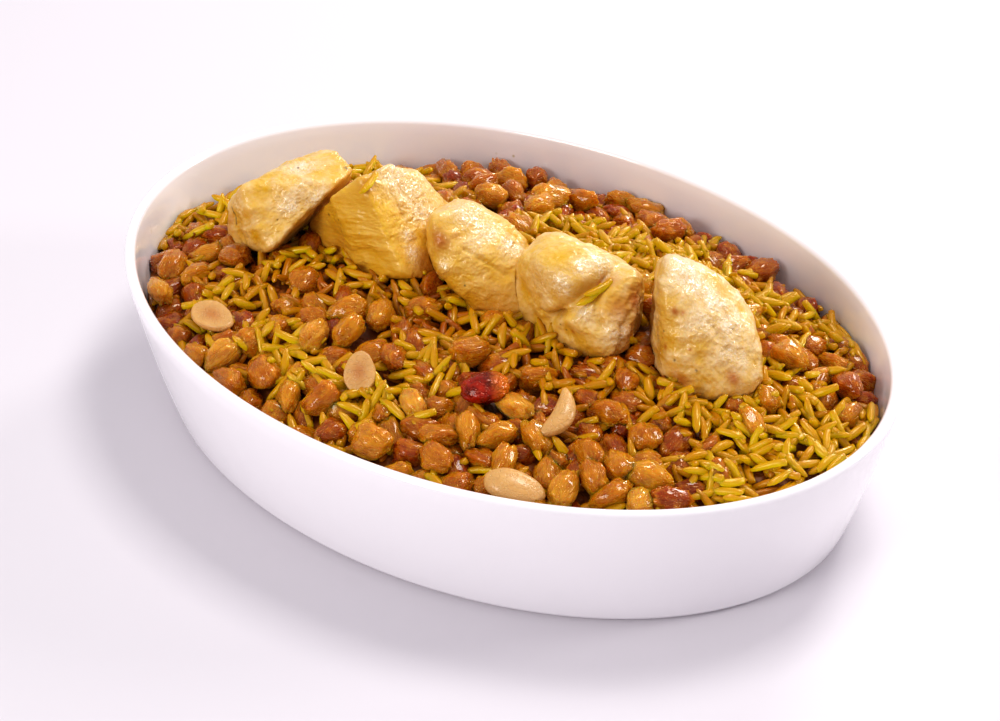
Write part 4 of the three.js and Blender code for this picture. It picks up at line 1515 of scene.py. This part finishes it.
def chicken_mesh(piece, later, form):
    """A piece of chicken: its lump with creases, torn edges, relief and fibres."""
    ball = bmesh.new()
    bmesh.ops.create_icosphere(ball, subdivisions=CHICKEN_DETAIL, radius=1.0)
    mesh = bpy.data.meshes.new(piece["name"] + "_meat")
    ball.to_mesh(mesh)
    ball.free()
    directions = np.zeros(len(mesh.vertices) * 3)
    mesh.vertices.foreach_get("co", directions)
    directions = directions.reshape(-1, 3)
    directions /= np.linalg.norm(directions, axis=1)[:, None]
    radius = lump_radius(piece, directions)
    for crease in piece["creases"]:
        radius -= crease_depth(directions, crease)
    torn, wet = spot_values(directions, piece["torn"]), spot_values(directions, piece["wet"])
    centre = np.array(piece["centre"]) * MM
    surface = centre + directions * radius[:, None]
    strands = surface @ fibre_frame(piece).T
    relief = meat_relief(surface, strands, torn, wet)
    hollow = np.clip(-relief / HOLLOW_DEPTH, 0, 1)
    for crease in piece["creases"]:
        _, depth, _ = crease
        share = crease_depth(directions, crease) / (depth * MM)
        hollow = np.maximum(hollow, CREASE_HOLLOW * share)
    dark = spot_values(directions, [(*speck, 1.0) for speck in piece["specks"]])
    if "leaf" in piece:
        dark = np.maximum(dark, crease_depth(directions, (piece["leaf"], 1 / MM, LEAF_WIDTH)))
    radius = press_clear(piece, later, form, directions, radius + relief * MM)
    mesh.vertices.foreach_set("co", (centre + directions * radius[:, None]).ravel())
    mesh.polygons.foreach_set("use_smooth", [True] * len(mesh.polygons))
    stain, brown = spot_values(directions, piece["stains"]), spot_values(directions, piece["browns"])
    store(mesh, gold=[piece["gold"]] * len(directions), stain=stain, brown=brown, speck=dark)
    store(mesh, hollow=hollow, wet=wet, fibre=strands)
    mesh.update()
    store_facing(mesh)
    return mesh


# ------------------------------------------------------------------- nuts, red fruit


def fruit_fold(point):
    """The folds of the red fruit at a point of its unit ball."""
    along, across, height, level = FRUIT_FOLDS
    folded = Vector((point.x * along, point.y * across, point.z * across))
    return height * (level - abs(noise.noise(folded)))


def topping_mesh(name, item, form):
    """An almond, or a blunt dried fruit, lying on the food."""
    length, width, thickness = (side / 2 * MM for side in item["size"])
    flat = item.get("flat", item["size"][2]) * MM
    blunt = item.get("blunt", False)
    spin = Euler((0, math.radians(item["tilt"]), math.radians(item["turn"])))
    x0, y0 = (side * MM for side in item["at"])
    turn = form.lean(x0, y0) @ spin.to_quaternion()
    middle = Vector((x0, y0, form.food_height(x0, y0) + item["rise"] * MM))
    edge_speed, edge_start = FRUIT_EDGE
    toasted, toast_spread, plain = TOAST
    points, faces = lump_points(TOPPING_SIDES, TOPPING_RINGS)
    placed, toast = [], []
    for point in points:
        narrowing = 1 if blunt else 1 - ALMOND_NARROWING * point.x
        wrinkle = fruit_fold(point) if blunt else 0.0
        swell = 1 + wrinkle + TOPPING_SWELL * noise.noise(point * 2 + middle * 100)
        x = point.x * length * swell
        y = point.y * width * narrowing * swell + item.get("bend", 0) * MM * point.x**2
        whole = point.z * thickness * narrowing * swell
        placed.append(middle + turn @ Vector((x, y, min(whole, flat))))
        # On the fruit, toast only turns it orange towards one end.
        if blunt:
            toast.append(clamp(edge_speed * point.x - edge_start))
        elif whole > flat:
            toast.append(toasted * math.exp(-((point.x**2 + point.y**2) / toast_spread)))
        else:
            toast.append(plain)
    mesh = make_mesh(name, placed, faces)
    store(mesh, toast=toast)
    return mesh


# -------------------------------------------------------------------------- settings


def length_setting(name, description, default):
    """A length for the panel, in metres."""
    return FloatProperty(name=name, description=description, default=default, unit="LENGTH")


def color_setting(name, description, default):
    """A colour for the panel."""
    return FloatVectorProperty(name=name, description=description, default=default, subtype="COLOR")


class DishSizes(bpy.types.PropertyGroup):
    """Sizes and glaze of the porcelain dish."""

    rim_length: length_setting("Rim Length", "Length over the rim", 330 * MM)
    rim_width: length_setting("Rim Width", "Width over the rim", 234 * MM)
    base_length: length_setting("Base Length", "Length of the base", 299 * MM)
    base_width: length_setting("Base Width", "Width of the base", 207 * MM)
    height: length_setting("Height", "Height of the rim", DISH_TOP)
    wall_thickness: length_setting("Wall Thickness", "Thickness of the wall", 4.6 * MM)
    glaze: color_setting("Glaze", "Colour of the porcelain", (0.87, 0.835, 0.87))


class FoodSettings(bpy.types.PropertyGroup):
    """Amounts, sizes and colours of the food."""

    raisin_count: IntProperty(name="Raisins", description="Number of raisins", default=280, min=40, max=340)
    raisin_color: color_setting("Raisin Amber", "Colour of a raisin of middle tint", (0.56, 0.32, 0.009))
    grain_density: FloatProperty(
        name="Grain Density", description="Grains of rice on a square metre", default=112000, min=1000
    )
    grain_spacing: length_setting("Grain Spacing", "Least distance between grains", 2.6 * MM)
    grain_length: length_setting("Grain Length", "Length of a grain of rice", 13.5 * MM)
    grain_width: length_setting("Grain Width", "Width of a grain of rice", 3.4 * MM)
    rice_color: color_setting("Rice Yellow", "Colour of the rice", (0.88, 0.66, 0.004))
    # The core's colour is painted shade between the grains.
    core_shade_color: color_setting("Rice Depth", "Colour between the grains", (0.30, 0.08, 0.003))
    chicken_color: color_setting("Chicken", "Colour of the cooked meat", (0.70, 0.445, 0.115))
    almond_color: color_setting("Almond", "Colour of the blanched almonds", (0.68, 0.38, 0.12))
    red_fruit_color: color_setting("Red Fruit", "Colour of the dried fruit", (0.40, 0.014, 0.003))
    seed: IntProperty(name="Seed", description="Seed of every random draw", default=20731, min=1)


class StageSettings(bpy.types.PropertyGroup):
    """Light and floor round the dish."""

    floor_color: color_setting("Floor", "Colour of the floor", (0.685, 0.65, 0.69))
    sky_strength: FloatProperty(
        name="Fill Light", description="Strength of the light from all round", default=0.55
    )
    key_power: FloatProperty(
        name="Key Light", description="Power of the soft light above the dish", default=8, unit="POWER"
    )
    lens: FloatProperty(name="Lens", description="Focal length of the camera in millimetres", default=90)


def form_and_food(context):
    """The dish's form and the food's settings."""
    return DishForm(context.scene.rice_dish_sizes), context.scene.rice_dish_food


# -------------------------------------------------------------------------- operators


class RICE_DISH_OT_porcelain(bpy.types.Operator):
    """Make the oval porcelain dish"""

    bl_idname = "rice_dish.porcelain"
    bl_label = "Porcelain Dish"

    def execute(self, context):
        sizes = context.scene.rice_dish_sizes
        mesh = dish_mesh(DishForm(sizes))
        finish_piece(mesh, porcelain_material(sizes.glaze), "porcelain", "dish")
        return {"FINISHED"}


class RICE_DISH_OT_core(bpy.types.Operator):
    """Make the core of the heap, painted dark between the grains to stand for the shade there"""

    bl_idname = "rice_dish.core"
    bl_label = "Rice Core"

    def execute(self, context):
        form, food = form_and_food(context)
        finish_piece(core_mesh(form), core_material(food.core_shade_color), "rice", "rice_and_raisins")
        return {"FINISHED"}


class RICE_DISH_OT_rice(bpy.types.Operator):
    """Sow the grains of rice over the core"""

    bl_idname = "rice_dish.rice"
    bl_label = "Rice Grains"

    def execute(self, context):
        form, food = form_and_food(context)
        shapes = shape_collection("grain_shapes", grain_shapes(Draws(food.seed)))
        material = rice_material(food.rice_color)
        lowest, highest = GRAIN_LAYER
        values = {
            "Shapes": shapes,
            "Density": food.grain_density,
            "Spacing": food.grain_spacing,
            "Length": food.grain_length,
            "Width": food.grain_width,
            "Lowest": lowest,
            "Highest": highest,
            "Seed": food.seed,
            "Material": material,
        }
        bed = bed_mesh(form, food.grain_length, food.grain_width)
        mesh = run_tree("rice_grains", bed, sown_tree(), values)
        clear_shapes(shapes)
        finish_piece(mesh, material, "rice", "rice_and_raisins")
        return {"FINISHED"}


class RICE_DISH_OT_raisins(bpy.types.Operator):
    """Pile the raisins between and over the rice"""

    bl_idname = "rice_dish.raisins"
    bl_label = "Raisins"

    def execute(self, context):
        form, food = form_and_food(context)
        draws = Draws(food.seed)
        shapes = shape_collection("raisin_shapes", raisin_shapes(draws))
        material = raisin_material(food.raisin_color)
        points = pile_raisins(form, draws, food.raisin_count)
        values = {"Shapes": shapes, "Seed": food.seed, "Material": material}
        mesh = run_tree("raisins", points, laid_tree(), values)
        clear_shapes(shapes)
        finish_piece(mesh, material, "raisin", "rice_and_raisins")
        return {"FINISHED"}


class RICE_DISH_OT_chicken(bpy.types.Operator):
    """Make the five pieces of chicken, each lying over the one before it"""

    bl_idname = "rice_dish.chicken"
    bl_label = "Chicken Pieces"

    def execute(self, context):
        form, food = form_and_food(context)
        material = chicken_material(food.chicken_color)
        for index, piece in enumerate(CHICKEN):
            mesh = chicken_mesh(piece, CHICKEN[index + 1 :], form)
            finish_piece(mesh, material, "chicken", piece["name"])
        return {"FINISHED"}


class RICE_DISH_OT_almonds(bpy.types.Operator):
    """Make the four almonds"""

    bl_idname = "rice_dish.almonds"
    bl_label = "Almonds"

    def execute(self, context):
        form, food = form_and_food(context)
        material = almond_material(food.almond_color)
        for name, item in SMALL_TOPPINGS.items():
            if name.startswith("almond"):
                finish_piece(topping_mesh(name + "_nut", item, form), material, "almond", name)
        return {"FINISHED"}


class RICE_DISH_OT_red_fruit(bpy.types.Operator):
    """Make the red dried fruit"""

    bl_idname = "rice_dish.red_fruit"
    bl_label = "Red Dried Fruit"

    def execute(self, context):
        form, food = form_and_food(context)
        material = red_fruit_material(food.red_fruit_color)
        mesh = topping_mesh("red_fruit_flesh", SMALL_TOPPINGS["red_fruit"], form)
        finish_piece(mesh, material, "red_fruit", "red_fruit")
        return {"FINISHED"}


def aim(thing, place, target):
    """Puts a light or the camera at a place, looking at a target."""
    thing.location = place
    thing.rotation_euler = (target - place).to_track_quat("-Z", "Y").to_euler()


class RICE_DISH_OT_stage(bpy.types.Operator):
    """Make the floor, the soft lights and the camera"""

    bl_idname = "rice_dish.stage"
    bl_label = "Stage"

    def execute(self, context):
        scene = context.scene
        stage = scene.rice_dish_stage
        half = FLOOR_SIZE / 2
        corners = [(-half, -half, 0), (half, -half, 0), (half, half, 0), (-half, half, 0)]
        floor = bpy.data.objects.new("floor", make_mesh("floor", corners, [(0, 1, 2, 3)], smooth=False))
        floor.data.materials.append(floor_material(stage.floor_color))
        scene.collection.objects.link(floor)

        world = bpy.data.worlds.new("studio")
        world.use_nodes = True
        sky = world.node_tree.nodes["Background"]
        sky.inputs["Color"].default_value = rgba(SKY_COLOR)
        sky.inputs["Strength"].default_value = stage.sky_strength
        scene.world = world

        for name, (place, side, share) in SOFT_LIGHTS.items():
            light = bpy.data.objects.new(name, bpy.data.lights.new(name, "AREA"))
            light.data.shape = "SQUARE"
            light.data.size = side
            light.data.energy = share * stage.key_power
            light.data.color = LIGHT_COLOR
            aim(light, Vector(place), CAMERA_AIM)
            scene.collection.objects.link(light)

        camera = bpy.data.objects.new("camera", bpy.data.cameras.new("camera"))
        camera.data.lens = stage.lens
        camera.data.sensor_width = SENSOR_WIDTH
        azimuth, elevation = math.radians(CAMERA_AZIMUTH), math.radians(CAMERA_ELEVATION)
        flat = math.cos(elevation)
        back = Vector((math.sin(azimuth) * flat, -math.cos(azimuth) * flat, math.sin(elevation)))
        aim(camera, CAMERA_AIM + back * CAMERA_DISTANCE, CAMERA_AIM)
        scene.collection.objects.link(camera)
        scene.camera = camera
        scene.view_settings.view_transform = "Standard"
        scene.view_settings.look = "Medium High Contrast"
        return {"FINISHED"}


class RICE_DISH_PT_panel(bpy.types.Panel):
    """The dish's settings and the buttons that make its pieces"""

    bl_idname = "RICE_DISH_PT_panel"
    bl_label = "Rice Dish"
    bl_space_type = "VIEW_3D"
    bl_region_type = "UI"
    bl_category = "Rice Dish"

    def draw(self, context):
        layout = self.layout
        for title, settings, operators in PANEL_ROWS:
            group = getattr(context.scene, settings)
            box = layout.box()
            box.label(text=title)
            for name in group.bl_rna.properties.keys():
                if name not in {"rna_type", "name"}:
                    box.prop(group, name)
            for operator in operators:
                box.operator(operator.bl_idname)


PANEL_ROWS = (
    ("Dish", "rice_dish_sizes", (RICE_DISH_OT_porcelain,)),
    (
        "Food",
        "rice_dish_food",
        (
            RICE_DISH_OT_core,
            RICE_DISH_OT_rice,
            RICE_DISH_OT_raisins,
            RICE_DISH_OT_chicken,
            RICE_DISH_OT_almonds,
            RICE_DISH_OT_red_fruit,
        ),
    ),
    ("Stage", "rice_dish_stage", (RICE_DISH_OT_stage,)),
)
SETTINGS = {
    "rice_dish_sizes": DishSizes,
    "rice_dish_food": FoodSettings,
    "rice_dish_stage": StageSettings,
}
OPERATORS = [operator for _, _, operators in PANEL_ROWS for operator in operators]


def register():
    """Registers the settings, operators and panel."""
    for name, settings in SETTINGS.items():
        bpy.utils.register_class(settings)
        setattr(bpy.types.Scene, name, PointerProperty(type=settings))
    for entry in (*OPERATORS, RICE_DISH_PT_panel):
        bpy.utils.register_class(entry)


def unregister():
    """Takes the settings, operators and panel away again."""
    for entry in (RICE_DISH_PT_panel, *reversed(OPERATORS)):
        bpy.utils.unregister_class(entry)
    for name, settings in reversed(SETTINGS.items()):
        delattr(bpy.types.Scene, name)
        bpy.utils.unregister_class(settings)


def main():
    """Builds every piece."""
    register()
    for operator in OPERATORS:
        group, name = operator.bl_idname.split(".")
        getattr(getattr(bpy.ops, group), name)()


if __name__ == "__main__":
    main()
